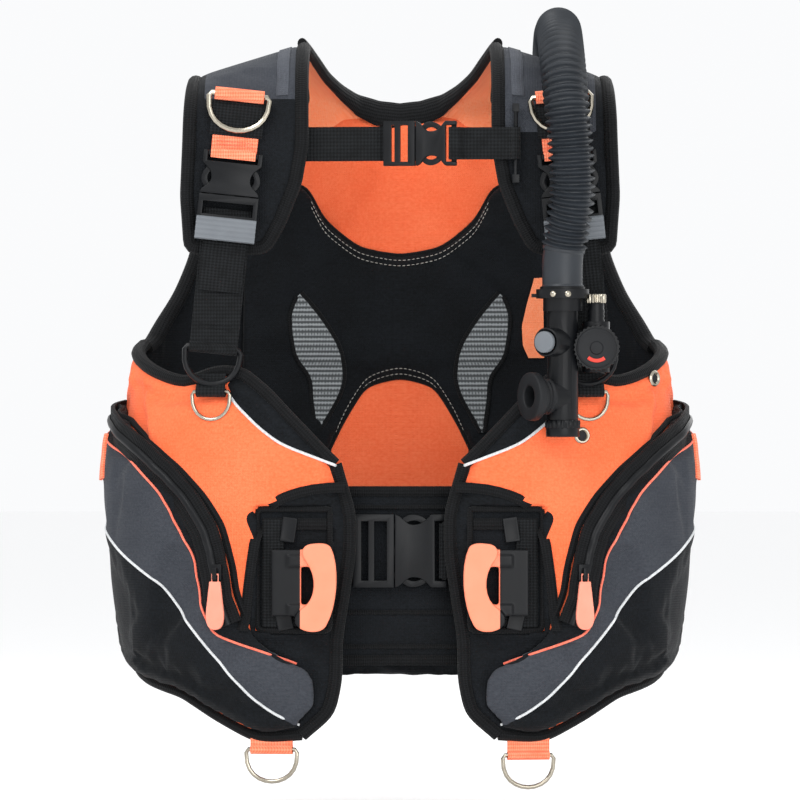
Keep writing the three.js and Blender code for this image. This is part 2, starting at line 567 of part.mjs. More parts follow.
// The zip's slider runs on an arc round zipCentre; its pull hangs from it.
function buildZip(side, half) {
  const z = -446;
  const here = onBody(frontAngle(156, z), z, -zipProud);
  const turn = -20;
  const zip = strapGroup(half, here.x, here.y, here.z, 0, -turn);
  add(`${side}_zip_slider`, joined(
    box(-5, 5, -4, 0, -7, 7),
    box(-2, 2, -8, -3, -6, -3.4),
    box(-2, 2, -8, -6.6, -6, 4),
    box(-2, 2, -8, -3, 2, 4),
  ), blackPlastic, zip);
  const pull = new THREE.Shape();
  pull.moveTo(-5, -8);
  pull.lineTo(5, -8);
  pull.lineTo(7, -24);
  pull.bezierCurveTo(10, -42, 8, -50, 0, -50);
  pull.bezierCurveTo(-8, -50, -10, -42, -7, -24);
  add(`${side}_zip_pull`, joined(
    extrudeBack(pull, -7, 3),
    box(-3.4, -2.5, -6, -4.6, -9, -0.9),
    box(2.5, 3.4, -6, -4.6, -9, -0.9),
    box(-3.4, 3.4, -6, -4.6, -2.3, -0.9),
  ), coralPlastic, zip);
}

// ---- The straps across the front ----
function buildChestStrap() {
  const turn = THREE.MathUtils.radToDeg(Math.atan2(railFrontY - railBackY, chest.rightX - chest.leftX));
  const along = Math.hypot(chest.rightX - chest.leftX, railFrontY - railBackY);
  const line = strapGroup(vest, chest.leftX, railBackY, chest.z, 0, turn);
  const b = buckleChest;
  const meet = 113; // from the right-hand rail to where the buckle's halves meet
  // the buckle lies on its side, with its male half towards the wearer's right
  const clip = new THREE.Group();
  clip.rotation.y = Math.PI / 2;
  clip.position.set(meet, chestLift, 0);
  line.add(clip);
  add('chest_buckle_female', femaleGeometry(b), blackPlastic, clip);
  add('chest_buckle_male', maleGeometry(b), blackPlastic, clip);
  // each strap: a sleeve round its rail, and at the buckle a plain end or a loop round the end bar
  const rightStrap = loopProfile(meet - b.male * 0.56 - 8, webbing.thickness, chest.railRadius);
  const flat = (shape) => extrudeAcross(shape, webbing.chest).rotateY(Math.PI / 2);
  add('chest_strap_right', flat(rightStrap), blackWebbing, line);
  const barX = meet + b.female - 2.2;
  const reach = along - barX;
  add('chest_strap_left', chestLeftGeometry(reach, b), blackWebbing, strapGroup(line, along, 0, 0, 0));
  addRail('chest_rail_right', vest, chest.leftX, railBackY, -1);
  addRail('chest_rail_left', vest, chest.rightX, railFrontY, 1);
}

// The wearer's left chest strap: a sleeve round the rail at x = 0, and a loop round the buckle's end bar at -reach.
function chestLeftGeometry(reach, b) {
  const t = webbing.thickness;
  const [railHole, railOut] = [chest.railRadius + ringPlay, chest.railRadius + ringPlay + sleeveWall];
  const { y, holeY: barHalfY, holeZ: barHalfX } = barOf(b);
  const middle = chestLift + y;
  const shape = new THREE.Shape();
  const start = Math.asin(t / 2 / railOut);
  shape.absarc(0, 0, railOut, Math.PI + start, 3 * Math.PI - start, false);
  shape.lineTo(-reach + barHalfX + 6, t / 2);
  shape.lineTo(-reach + barHalfX + t, middle + barHalfY + t);
  shape.lineTo(-reach - barHalfX - 1.6, middle + barHalfY + t);
  shape.lineTo(-reach - barHalfX - 1.6, middle - barHalfY - t);
  shape.lineTo(-reach + barHalfX + t, middle - barHalfY - t);
  shape.lineTo(-reach + barHalfX + 6, -t / 2);
  shape.holes.push(new THREE.Path().absarc(0, 0, railHole, 0, 2 * Math.PI, true));
  shape.holes.push(new THREE.Path([[-reach - barHalfX, middle - barHalfY], [-reach - barHalfX, middle + barHalfY],
    [-reach + barHalfX, middle + barHalfY], [-reach + barHalfX, middle - barHalfY]].map((p) => new THREE.Vector2(...p))));
  return extrude(shape, webbing.chest - 2).translate(0, 0, -webbing.chest / 2 + 1);
}

// A rail beside the yoke that the chest strap slides on: a rod with a foot at each end.
function addRail(name, parent, x, y, toYoke) {
  const reach = toYoke > 0 ? [y - 3, yokeFrontY - gap] : [yokeFrontY + yoke.thickness + gap, y + 3];
  const foot = (z) => box(x - 3, x + 3, ...reach, z - chest.footSize / 2, z + chest.footSize / 2);
  add(name, joined(rod(chest.railRadius, [x, y, chest.z - chest.railHalf], [0, 0, 1], 2 * chest.railHalf, 10),
    foot(chest.z - chest.railHalf), foot(chest.z + chest.railHalf)), blackPlastic, parent);
}

function buildWaistStrap() {
  const b = buckleWaist;
  const clip = new THREE.Group();
  clip.rotation.y = Math.PI / 2;
  clip.position.set(-5, waist.frontY + b.thick, waist.z);
  vest.add(clip);
  add('waist_buckle_female', femaleGeometry(b), blackPlastic, clip);
  add('waist_buckle_male', maleGeometry(b), blackPlastic, clip);
  const half = webbing.waist / 2;
  const behind = waist.frontY + b.thick - webbing.thickness; // the webbing's front face behind the male half's bars
  const rightEnd = -5 - b.male * 0.56 - 8;
  const rightPiece = box(-122, rightEnd, behind, behind + webbing.thickness, waist.z - half, waist.z + half);
  add('waist_webbing_right', rightPiece, blackWebbing);
  const barX = -5 + b.female - 2.2;
  const loop = outline([[barX - 4.5, waist.frontY - 2], [barX + 5, waist.frontY - 2], [barX + 13, behind],
    [122, behind], [122, behind + webbing.thickness], [barX - 4.5, behind + webbing.thickness]]);
  const { y, holeY, holeZ } = barOf(b);
  const middle = waist.frontY + b.thick + y;
  loop.holes.push(new THREE.Path([[barX - holeZ, middle - holeY], [barX - holeZ, middle + holeY],
    [barX + holeZ, middle + holeY], [barX + holeZ, middle - holeY]].map((p) => new THREE.Vector2(...p))));
  add('waist_webbing_left', extrude(loop, webbing.waist - 2).translate(0, 0, waist.z - half + 1), blackWebbing);
}

// ---- Hose and inflator ----
function buildHose() {
  const curve = new THREE.CatmullRomCurve3(hoseRoute.map((p) => new THREE.Vector3(...p)), false, 'centripetal');
  const section = new THREE.Shape().absarc(0, 0, hose.radius, 0, 2 * Math.PI, false);
  const round = outline(section.getSpacedPoints(hose.sides).slice(0, -1).map((p) => [p.x, p.y]));
  const settings = { steps: hose.steps, extrudePath: curve, bevelEnabled: false };
  add('corrugated_hose', new THREE.ExtrudeGeometry(round, settings), hoseRubber);
  const [x, y, z] = hoseRoute[0];
  const face = backY(x - 27, -100, 0) + gap - 1;
  add('shoulder_elbow', joined(
    rod(hose.radius, [x, y, z - gap], [0, 0, -1], 34),
    rod(24, [x, face + 1, -80], [0, 1, 0], 6, 20),
    rod(16, [x, face + 6, -76], [0, 1, 0], y - face - 2, 16),
  ), blackPlastic);
}

function buildInflator() {
  const unit = new THREE.Group();
  unit.position.set(inflator.x, inflator.y, inflator.z);
  vest.add(unit);
  const { tube, neck, flange, length, capHeight } = inflator;
  const capTop = -length + capHeight;
  const buttonWay = [-0.55, -0.835, 0]; // the inflate button faces forward and to the wearer's right
  const mouthWay = [-0.88, -0.47, 0];
  const buttonZ = -42;
  const mouthZ = -89;
  const at = (way, distance, z) => [way[0] * distance, way[1] * distance, z];
  const body = joined(
    rod(flange, [0, 0, 4], [0, 0, -1], 8, 24),
    box(-27, -20, -3, 3, -3, 0),
    rod(neck, [0, 0, -3], [0, 0, -1], 12, 20),
    rod(tube, [0, 0, -14], [0, 0, -1], length - capHeight - 14, 20),
    rod(12.5, [0, 0, buttonZ], buttonWay, 27, 20),
    rod(14.5, [0, 0, mouthZ], mouthWay, 22, 20),
    rod(12, [29, 5, -68], [0, 0, 1], 44, 20),
    box(8, 29, -5, 10, -62, -34),
    rod(6.5, [29, 0, -24], [0, 0, 1], 24, 12),
    rod(8, [29, 0, -8], [0, 0, 1], 7, 12),
    rod(19, [29, -10, -47], [0, 1, 0], 20, 24),
  );
  const bore = rod(7, [0, 0, capTop + 8], [0, 0, -1], 10, 16);
  const buttonWell = rod(10, at(buttonWay, 23, buttonZ), buttonWay, 12, 20);
  const mouthBore = rod(8, at(mouthWay, 12, mouthZ), mouthWay, 20, 16);
  add('inflator_body', cut(body, bore, buttonWell, mouthBore), blackPlastic, unit);
  add('inflate_button', rod(9.4, at(buttonWay, 26.8, buttonZ), buttonWay, 5.2, 20), greyPlastic, unit);
  add('deflate_button', joined(
    rod(tube + 1, [0, 0, capTop - 3.4], [0, 0, -1], capHeight - 3.4, 20),
    rod(6.4, [0, 0, capTop + 4], [0, 0, -1], 9, 16),
  ), blackPlastic, unit);
  const neckRing = rod(17.5, at(mouthWay, 22 + gap, mouthZ), mouthWay, 5, 20);
  const lip = rod(21, at(mouthWay, 26, mouthZ), mouthWay, 8, 24);
  const bite = rod(9.5, at(mouthWay, 20, mouthZ), mouthWay, 20, 16);
  add('mouthpiece', cut(joined(neckRing, lip), bite), softRubber, unit);
}

// ---- The back: plate, tank band, handle and rear dump valve ----
function buildBack() {
  const { thickness, halfWidth: half, top, bottom, bandSlotX } = plate;
  const face = backDepth + 4; // the plate's flat front stands on spacers just behind the curved panel
  const rear = face + thickness;
  const shape = new THREE.Shape();
  shape.moveTo(-half * 0.72, top);
  shape.lineTo(half * 0.72, top);
  shape.bezierCurveTo(half * 0.95, top, half, top - 10, half, top - 40);
  shape.lineTo(half * 0.86, bottom + 40);
  shape.bezierCurveTo(half * 0.82, bottom, half * 0.7, bottom, half * 0.6, bottom);
  shape.lineTo(-half * 0.6, bottom);
  shape.bezierCurveTo(-half * 0.7, bottom, -half * 0.82, bottom, -half * 0.86, bottom + 40);
  shape.lineTo(-half, top - 40);
  shape.bezierCurveTo(-half, top - 10, -half * 0.95, top, -half * 0.72, top);
  const slotHalf = tank.bandWidth / 2 + 2;
  const slot = (x) => box(x - 4, x + 4, face - 1, rear + 1, tank.bandZ - slotHalf, tank.bandZ + slotHalf);
  const spacer = (x, z) => rod(9, [x, backY(x, z) + gap + 0.4, z], [0, 1, 0], face - backY(x, z) + 1, 12);
  const grip = box(-38, 38, face - 1, rear + 1, -112, -88);
  const slab = cut(extrudeBack(shape, face, thickness), slot(bandSlotX), slot(-bandSlotX), grip);
  add('backpack_plate', joined(slab, spacer(0, -140), spacer(0, -390),
    spacer(60, -150), spacer(-60, -150), spacer(50, -380), spacer(-50, -380)), blackPlastic);

  // the band: straight between plate and panel, out through the slots and round the tank
  const centre = rear + gap + tank.radius;
  const loop = (grow) => {
    const radius = tank.radius + 0.8 + grow;
    const points = [];
    for (let i = 0; i <= 24; i++) {
      const a = radians(mix(-32, 212, i / 24));
      points.push([radius * Math.cos(a), centre + radius * Math.sin(a)]);
    }
    const run = bandSlotX - 1.2;
    return [...points, [-run - grow, face - 1 - grow], [run + grow, face - 1 - grow]];
  };
  const outer = outline(loop(tank.bandThickness));
  outer.holes.push(outline(loop(0)));
  add('tank_band', extrude(outer, tank.bandWidth).translate(0, 0, tank.bandZ - tank.bandWidth / 2), blackWebbing);

  // the cam buckle: a frame on the band and a lever that turns on the frame's pin
  const camY = centre + tank.radius + tank.bandThickness + 0.8;
  const frameHalf = tank.bandWidth / 2 + 6;
  const cheek = (from, to) => box(-34, -22, camY + 1, camY + 12, tank.bandZ + from, tank.bandZ + to);
  const pinRod = (radius, halfLength, sides) =>
    rod(radius, [-28, camY + 8.6, tank.bandZ - halfLength], [0, 0, 1], 2 * halfLength, sides);
  add('cam_frame', joined(
    box(-34, 26, camY + gap, camY + 3, tank.bandZ - frameHalf, tank.bandZ + frameHalf),
    cheek(-frameHalf, 4.4 - frameHalf),
    cheek(frameHalf - 4.4, frameHalf),
    pinRod(2, frameHalf - 3.5, 10),
  ), blackPlastic);
  const leverHalf = frameHalf - 5;
  const leverSolid = joined(
    pinRod(5, leverHalf, 16),
    box(-28, 34, camY + 7, camY + 11, tank.bandZ - leverHalf, tank.bandZ + leverHalf),
  );
  add('cam_lever', cut(leverSolid, pinRod(2.6, frameHalf - 1, 10)), blackPlastic);

  // the carrying handle: an arch of webbing over the plate's top
  const arch = new THREE.Shape();
  arch.moveTo(-58, -92);
  arch.bezierCurveTo(-58, -60, -40, -52, 0, -52);
  arch.bezierCurveTo(40, -52, 58, -60, 58, -92);
  arch.lineTo(48, -92);
  arch.bezierCurveTo(48, -68, 36, -61, 0, -61);
  arch.bezierCurveTo(-36, -61, -48, -68, -48, -92);
  add('carrying_handle', extrudeBack(arch, rear + gap, 16), blackWebbing);

  // rear dump valve, low on the wearer's right, with its pull knob on a cord
  const valveX = -150;
  const valveZ = -480;
  const seat = backY(valveX, valveZ);
  add('dump_valve', joined(
    rod(27, [valveX, seat + 4.6, valveZ], [0, 1, 0], 4, 24),
    rod(22, [valveX, seat + 8.1, valveZ], [0, 1, 0], 9, 24),
  ), blackPlastic);
  add('dump_pull_knob', joined(
    rod(1.5, [valveX, seat + 14, valveZ - 22.6], [0, 0, -1], 36, 8),
    rod(7, [valveX, seat + 14, valveZ - 56], [0, 0, -1], 16, 16),
  ), coralPlastic);
}

buildSide('left', 1);
buildSide('right', -1);
add('back_panel', backPanelGeometry(), orangeNylon);
add('back_pad', backPadGeometry(), blackNylon);
buildChestStrap();
buildWaistStrap();
buildHose();
buildInflator();
buildBack();

export default vest;
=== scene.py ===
import json
import math

import bmesh
import bpy
import numpy as np
from mathutils import Matrix, Vector
from mathutils.bvhtree import BVHTree

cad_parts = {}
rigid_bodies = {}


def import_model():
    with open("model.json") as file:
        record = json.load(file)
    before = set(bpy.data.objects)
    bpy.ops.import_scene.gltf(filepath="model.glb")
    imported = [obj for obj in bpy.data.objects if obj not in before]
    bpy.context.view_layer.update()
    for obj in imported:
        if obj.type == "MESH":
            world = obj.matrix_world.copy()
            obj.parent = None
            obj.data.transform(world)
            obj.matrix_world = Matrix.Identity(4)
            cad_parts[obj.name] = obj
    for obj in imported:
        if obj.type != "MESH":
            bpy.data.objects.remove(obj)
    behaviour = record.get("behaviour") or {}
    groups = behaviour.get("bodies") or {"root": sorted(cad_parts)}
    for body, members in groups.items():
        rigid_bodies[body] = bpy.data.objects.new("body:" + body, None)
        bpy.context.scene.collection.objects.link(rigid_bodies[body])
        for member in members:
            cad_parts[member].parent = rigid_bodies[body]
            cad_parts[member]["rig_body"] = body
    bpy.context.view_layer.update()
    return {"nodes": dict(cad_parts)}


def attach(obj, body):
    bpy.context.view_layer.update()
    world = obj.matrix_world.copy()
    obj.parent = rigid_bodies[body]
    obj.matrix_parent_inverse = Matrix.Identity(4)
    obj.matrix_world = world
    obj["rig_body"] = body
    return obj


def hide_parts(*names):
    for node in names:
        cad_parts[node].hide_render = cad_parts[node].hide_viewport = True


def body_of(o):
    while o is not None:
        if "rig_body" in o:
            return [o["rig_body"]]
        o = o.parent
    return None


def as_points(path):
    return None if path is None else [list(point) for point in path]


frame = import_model()
scene = bpy.context.scene
mm = 0.001
print("frame loaded:", len(frame["nodes"]), "nodes")


# Small tools
def deselect():
    for o in bpy.context.selected_objects:
        o.select_set(False)


def pick(o):
    deselect()
    o.select_set(True)
    bpy.context.view_layer.objects.active = o


def applyAll(o):
    pick(o)
    for modifier in list(o.modifiers):
        bpy.ops.object.modifier_apply(modifier=modifier.name)


def modifier(o, kind, **settings):
    m = o.modifiers.new(kind.lower(), kind)
    for key, value in settings.items():
        setattr(m, key, value)
    return m


def coords(o):
    flat = np.empty(len(o.data.vertices) * 3)
    o.data.vertices.foreach_get("co", flat)
    return flat.reshape(-1, 3)


def setCoords(o, points):
    o.data.vertices.foreach_set("co", np.asarray(points, dtype=float).ravel())
    o.data.update()


def newMesh(name, points, faces):
    mesh = bpy.data.meshes.new(name)
    mesh.from_pydata([tuple(p) for p in points], [], faces)
    mesh.update()
    o = bpy.data.objects.new(name, mesh)
    scene.collection.objects.link(o)
    return o


def gridFaces(rows, columns):
    # the squares of a grid of points given row by row
    starts = [i * columns + j for i in range(rows - 1) for j in range(columns - 1)]
    return [(a, a + 1, a + columns + 1, a + columns) for a in starts]


def tubeFaces(rings, sides):
    # the squares round a stack of rings, and a cap at each end
    faces = []
    for i in range(rings - 1):
        for k in range(sides):
            following = (k + 1) % sides
            faces.append((i * sides + k, i * sides + following, (i + 1) * sides + following, (i + 1) * sides + k))
    return faces + [tuple(range(sides))[::-1], tuple((rings - 1) * sides + k for k in range(sides))]


def unitOf(way):
    way = np.array(way, dtype=float)
    return way / np.linalg.norm(way)


def acrossAxis(axis):
    # two directions square to an axis
    side = unitOf(np.cross(axis, [0.31, 0.2, 0.93]))
    return side, np.cross(axis, side)


def lengthsAlong(line):
    return np.concatenate([[0], np.cumsum(np.linalg.norm(np.diff(line, axis=0), axis=1))])


def shadeSmooth(o, degrees=40):
    pick(o)
    bpy.ops.object.shade_smooth_by_angle(angle=math.radians(degrees))


# Colours and materials
def linear(hexColour):
    parts = [int(hexColour[i : i + 2], 16) / 255 for i in (1, 3, 5)]
    return tuple(p / 12.92 if p <= 0.04045 else ((p + 0.055) / 1.055) ** 2.4 for p in parts) + (1.0,)


def addNode(tree, kind, links=None, **settings):
    node = tree.nodes.new(kind)
    for key, value in settings.items():
        if key.startswith("in_"):
            name = key[3:]
            socket = node.inputs[int(name)] if name.isdigit() else node.inputs[name.replace("_", " ")]
            socket.default_value = value
        else:
            setattr(node, key, value)
    for socket, source in (links or {}).items():
        tree.links.new(source, node.inputs[socket])
    return node


def startMaterial(name, **shader):
    m = bpy.data.materials.new(name)
    m.use_nodes = True
    tree = m.node_tree
    bsdf = tree.nodes["Principled BSDF"]
    for key, value in shader.items():
        bsdf.inputs[key.replace("_", " ")].default_value = value
    return m, tree, bsdf


def blend(tree, share, dark, light):
    links = {0: share}
    return addNode(tree, "ShaderNodeMix", links, data_type="RGBA", in_6=linear(dark), in_7=linear(light)).outputs[2]


def noise(tree, place, scale, detail, **more):
    return addNode(tree, "ShaderNodeTexNoise", {"Vector": place}, in_Scale=scale, in_Detail=detail, **more).outputs[0]


def bands(tree, place, axis, scale, **more):
    wave = addNode(tree, "ShaderNodeTexWave", {"Vector": place}, bands_direction=axis, in_Scale=scale, **more)
    return wave.outputs[1]


def maths(tree, kind, first, second):
    return addNode(tree, "ShaderNodeMath", {0: first, 1: second}, operation=kind).outputs[0]


def stretched(tree, value, low, high):
    return addNode(tree, "ShaderNodeMapRange", {0: value}, in_1=low, in_2=high).outputs[0]


def between(tree, value, least, most):
    return addNode(tree, "ShaderNodeMapRange", {0: value}, in_3=least, in_4=most).outputs[0]


def raised(tree, height, strength, distance, under=None):
    links = {"Height": height, "Normal": under} if under else {"Height": height}
    return addNode(tree, "ShaderNodeBump", links, in_Strength=strength, in_Distance=distance).outputs[0]


def wovenCloth(name, light, dark, threadMm, roughness=0.75, depth=0.5, sheen=0.15, wrinkle=0.25, second=None):
    # Threads over and under each other: a fine grid of bumps, with a soft sheen from the fibres.
    # A second pair of colours is a second cloth sewn on where the attribute "patch" is above 0.
    m, tree, bsdf = startMaterial(
        name, Roughness=roughness, Sheen_Weight=sheen, Sheen_Roughness=0.5, Specular_IOR_Level=0.1
    )
    place = addNode(tree, "ShaderNodeUVMap", uv_map="flow").outputs[0]
    warp, weft = [bands(tree, place, axis, 314 / threadMm, in_Distortion=0.6, in_Detail=1.0) for axis in "XY"]
    mottle = noise(tree, place, 14.0, 5.0, in_Roughness=0.62)
    tone = stretched(tree, maths(tree, "ADD", mottle, noise(tree, place, 420.0, 2.0)), 0.75, 1.25)
    colour = blend(tree, tone, dark, light)
    if second:
        patch = addNode(tree, "ShaderNodeAttribute", attribute_name="patch").outputs["Fac"]
        sewn = addNode(tree, "ShaderNodeMath", {0: patch}, operation="GREATER_THAN", in_1=0.0).outputs[0]
        links = {0: sewn, 6: colour, 7: blend(tree, tone, second[1], second[0])}
        colour = addNode(tree, "ShaderNodeMix", links, data_type="RGBA").outputs[2]
    tree.links.new(colour, bsdf.inputs["Base Color"])
    coarse = raised(tree, noise(tree, place, 22.0, 3.0, in_Distortion=1.2), wrinkle, 0.004)
    fine = raised(tree, maths(tree, "MULTIPLY", warp, weft), depth, 0.0006, coarse)
    tree.links.new(fine, bsdf.inputs["Normal"])
    return m


def wovenWebbing(name, light, dark, ribMm=2.4, roughness=0.7):
    # Webbing has strong cross ribs and a raised selvedge. UV: x runs along it, y across it, in metres.
    m, tree, bsdf = startMaterial(name, Roughness=roughness, Sheen_Weight=0.04, Specular_IOR_Level=0.12)
    place = addNode(tree, "ShaderNodeUVMap", uv_map="flow").outputs[0]
    ribs = bands(tree, place, "X", 314 / ribMm, in_Distortion=0.5, in_Detail=1.0)
    relief = maths(tree, "ADD", ribs, bands(tree, place, "Y", 98))
    # the colour follows the ribs, darker in the grooves and lighter on the crests: painted shade and highlight,
    # broken up by noise
    tone = stretched(tree, maths(tree, "MULTIPLY", relief, noise(tree, place, 90.0, 4.0)), 0.1, 0.9)
    tree.links.new(blend(tree, tone, dark, light), bsdf.inputs["Base Color"])
    tree.links.new(raised(tree, relief, 0.55, 0.0007), bsdf.inputs["Normal"])
    return m


def moulded(name, colour, speck, roughness, grainMm=0.5, shine=0.25):
    # Injection-moulded plastic: an even spark-eroded grain and a slightly rubbed surface.
    m, tree, bsdf = startMaterial(name, Specular_IOR_Level=shine)
    place = addNode(tree, "ShaderNodeTexCoord").outputs["Object"]
    rub = noise(tree, place, 60.0, 5.0)
    tree.links.new(blend(tree, rub, colour, speck), bsdf.inputs["Base Color"])
    tree.links.new(between(tree, rub, roughness - 0.08, roughness + 0.1), bsdf.inputs["Roughness"])
    grain = noise(tree, place, 1000 / grainMm / 2, 2.0)
    tree.links.new(raised(tree, grain, 0.18, 0.0002), bsdf.inputs["Normal"])
    return m


def polishedSteel(name):
    # Bent stainless wire, tumbled bright: mirror-like with faint drawing lines.
    m, tree, bsdf = startMaterial(name, Metallic=1.0)
    lines = noise(tree, addNode(tree, "ShaderNodeTexCoord").outputs["Object"], 700.0, 3.0)
    tree.links.new(blend(tree, lines, "#8E8779", "#BDB6A7"), bsdf.inputs["Base Color"])
    tree.links.new(between(tree, lines, 0.16, 0.3), bsdf.inputs["Roughness"])
    return m


def openMesh(name):
    # Grey spacer mesh: vertical knit ribs with rows of small dark holes.
    m, tree, bsdf = startMaterial(name, Roughness=0.7, Sheen_Weight=0.3)
    place = addNode(tree, "ShaderNodeUVMap", uv_map="flow").outputs[0]
    holes = addNode(tree, "ShaderNodeTexVoronoi", {"Vector": place}, in_Scale=300.0, in_Randomness=0.15).outputs[0]
    dots = maths(tree, "MULTIPLY", holes, bands(tree, place, "Y", 71))
    tree.links.new(blend(tree, stretched(tree, dots, 0.05, 0.4), "#33373A", "#8E9395"), bsdf.inputs["Base Color"])
    tree.links.new(raised(tree, dots, 0.6, 0.0008), bsdf.inputs["Normal"])
    return m


# a lighter copy of the orange cordura for the pieces inside the vest: painted light that brightens cloth lying in
# shade
orangeNylonPaintedLight = wovenCloth("orangeCorduraNylonPaintedLight", "#FF9C72", "#FF8A5C", 2.2, wrinkle=0.3)
blackPair = ("#14171B", "#0A0C0E")
blackNylon = wovenCloth("blackCorduraNylon", *blackPair, 2.2, wrinkle=0.35, sheen=0.06)
orangeAndBlack = wovenCloth(
    "orangeAndBlackCorduraNylon", "#FB794F", "#F5683E", 2.2, wrinkle=0.4, sheen=0.05, second=blackPair
)
greyAndBlack = wovenCloth(
    "greyAndBlackCorduraNylon", "#3E4147", "#31343A", 2.2, wrinkle=0.3, sheen=0.06, second=blackPair
)
smoothGrey = wovenCloth("lightGreyPanelNylon", "#4F5259", "#43464C", 2.2, wrinkle=0.2, sheen=0.05)
bindingTape = wovenWebbing("blackBindingTape", "#141517", "#08090A", 2.0)
blackWebbing = wovenWebbing("blackPolyesterWebbing", "#1A1C1E", "#090A0B", 2.6)
coralWebbing = wovenWebbing("coralPolyesterWebbing", "#FF9A78", "#F2714F", 2.2)
coralPiping = wovenCloth("coralPipingCord", "#FF8A72", "#EE6650", 1.6, wrinkle=0.1)
silverPiping = wovenCloth("reflectiveSilverPiping", "#E3E5E6", "#B9BCBE", 1.6, roughness=0.4, sheen=0.0, wrinkle=0.1)
whiteThread = wovenCloth("offWhiteThread", "#D9D6CE", "#A9A69E", 0.8, wrinkle=0.0)
blackAcetal = moulded("blackAcetalPlastic", "#090A0C", "#111316", 0.36, shine=0.2)
greyAcetal = moulded("greyAcetalPlastic", "#62666B", "#70757A", 0.45)
softCoral = moulded("coralSoftTouchPlastic", "#F4825F", "#F79273", 0.5, shine=0.4)
ribbedRubber = moulded("blackHoseRubber", "#1B1F24", "#272C32", 0.45, grainMm=0.8, shine=0.4)
softBlack = moulded("blackSiliconeRubber", "#101113", "#191B1E", 0.55)
coralPull = moulded("coralRubberPull", "#F28A72", "#F59B85", 0.55)
softRed = moulded("redWarningPlastic", "#C8382E", "#D84A3C", 0.5)
steel = polishedSteel("stainlessSteelWire")
greyMesh = openMesh("greySpacerMesh")
print("materials ready")


# The body form, as in the CAD
form = {
    "halfWidth": 256, "height": -410, "taperUp": 667, "taperDown": 497, "chest": 205,
    "front": 118, "back": 108, "squareness": 2.6, "seam": 100,
}


def halfWidth(z):
    taper = form["taperUp"] if z > form["height"] else form["taperDown"]
    return max(form["chest"], form["halfWidth"] * (1 - ((z - form["height"]) / taper) ** 2))


def signedPower(value, exponent):
    return math.copysign(abs(value) ** exponent, value)


def onForm(angle, z):
    a = math.radians(angle)
    reach = form["front"] if math.cos(a) > 0 else form["back"]
    e = 2 / form["squareness"]
    return np.array([halfWidth(z) * signedPower(math.sin(a), e), -reach * signedPower(math.cos(a), e), z])


def outward(angle, z):
    t = onForm(angle + 1, z) - onForm(angle - 1, z)
    n = unitOf([t[1], -t[0], 0.0])
    return n if n @ onForm(angle, z) > 0 else -n


def onBody(angle, z, depth=0.0):
    return onForm(angle, z) - outward(angle, z) * depth


def frontAngle(x, z):
    share = min(1.0, (abs(x) / halfWidth(z)) ** (form["squareness"] / 2))
    return math.copysign(math.degrees(math.asin(share)), x)


def front(x, z):
    return (frontAngle(x, z), z)


def smoothLine(points, count, tension=0.3):
    pts = [np.array(p, dtype=float) for p in points]
    if len(pts) == 2:
        return [pts[0] + (pts[1] - pts[0]) * i / (count - 1) for i in range(count)]
    pts = [2 * pts[0] - pts[1]] + pts + [2 * pts[-1] - pts[-2]]
    dense = []
    for i in range(1, len(pts) - 2):
        p0, p1, p2, p3 = pts[i - 1 : i + 3]
        m1, m2 = tension * (p2 - p0), tension * (p3 - p1)
        for s in np.linspace(0, 1, 24, endpoint=False):
            ends = (2 * s**3 - 3 * s**2 + 1) * p1 + (3 * s**2 - 2 * s**3) * p2
            dense.append(ends + (s**3 - 2 * s**2 + s) * m1 + (s**3 - s**2) * m2)
    dense.append(pts[-2])
    dense = np.array(dense)
    far = lengthsAlong(dense)
    wanted = np.linspace(0, far[-1], count)
    return [np.array([np.interp(w, far, dense[:, k]) for k in range(dense.shape[1])]) for w in wanted]


def lineAt(points, count=120):
    table = np.array(smoothLine(points, count))

    def at(t):
        where = t * (count - 1)
        i = min(int(where), count - 2)
        return table[i] + (table[i + 1] - table[i]) * (where - i)

    return at


def coons(edges):
    bottom, top, near, far = [lineAt(e) for e in edges]

    def place(u, v):
        p = (1 - v) * bottom(u) + v * top(u) + (1 - u) * near(v) + u * far(v)
        corners = (1 - u) * (1 - v) * bottom(0) + u * (1 - v) * bottom(1) + (1 - u) * v * top(0) + u * v * top(1)
        return p - corners

    return place


def bump(t):
    return 1 - abs(2 * t - 1) ** 4


def swell(u, v):
    return math.sqrt(max(0.0, bump(u) * bump(v)))


def mix(a, b, t):
    return a + (b - a) * t


# Soft pads
def recalc(o):
    pick(o)
    bpy.ops.object.mode_set(mode="EDIT")
    bpy.ops.mesh.select_all(action="SELECT")
    bpy.ops.mesh.normals_make_consistent(inside=False)
    bpy.ops.object.mode_set(mode="OBJECT")


def quilt(name, columns, rows, outer, inner):
    # a flat grid gets a thickness, then its two faces are laid on the body form
    deselect()
    bpy.ops.mesh.primitive_grid_add(x_subdivisions=columns, y_subdivisions=rows, size=1)
    o = bpy.context.object
    o.name = name
    modifier(o, "SOLIDIFY", thickness=0.1)
    applyAll(o)
    points = coords(o)
    half = len(points) // 2
    places = [outer(p[0] + 0.5, p[1] + 0.5) for p in points[:half]]
    places += [inner(p[0] + 0.5, p[1] + 0.5) for p in points[:half]]
    setCoords(o, np.array(places) * mm)
    recalc(o)
    edges = [k for k in range(half) if max(abs(points[k][0]), abs(points[k][1])) > 0.499]
    seam = [places[k] for k in edges]
    return o, np.array(seam)


def nearSeam(points, seam, reach):
    gaps = np.full(len(points), 1e9)
    for k in range(0, len(seam), 40):
        block = seam[k : k + 40]
        gaps = np.minimum(gaps, np.linalg.norm(points[:, None] - block[None], axis=2).min(axis=1))
    return gaps < reach


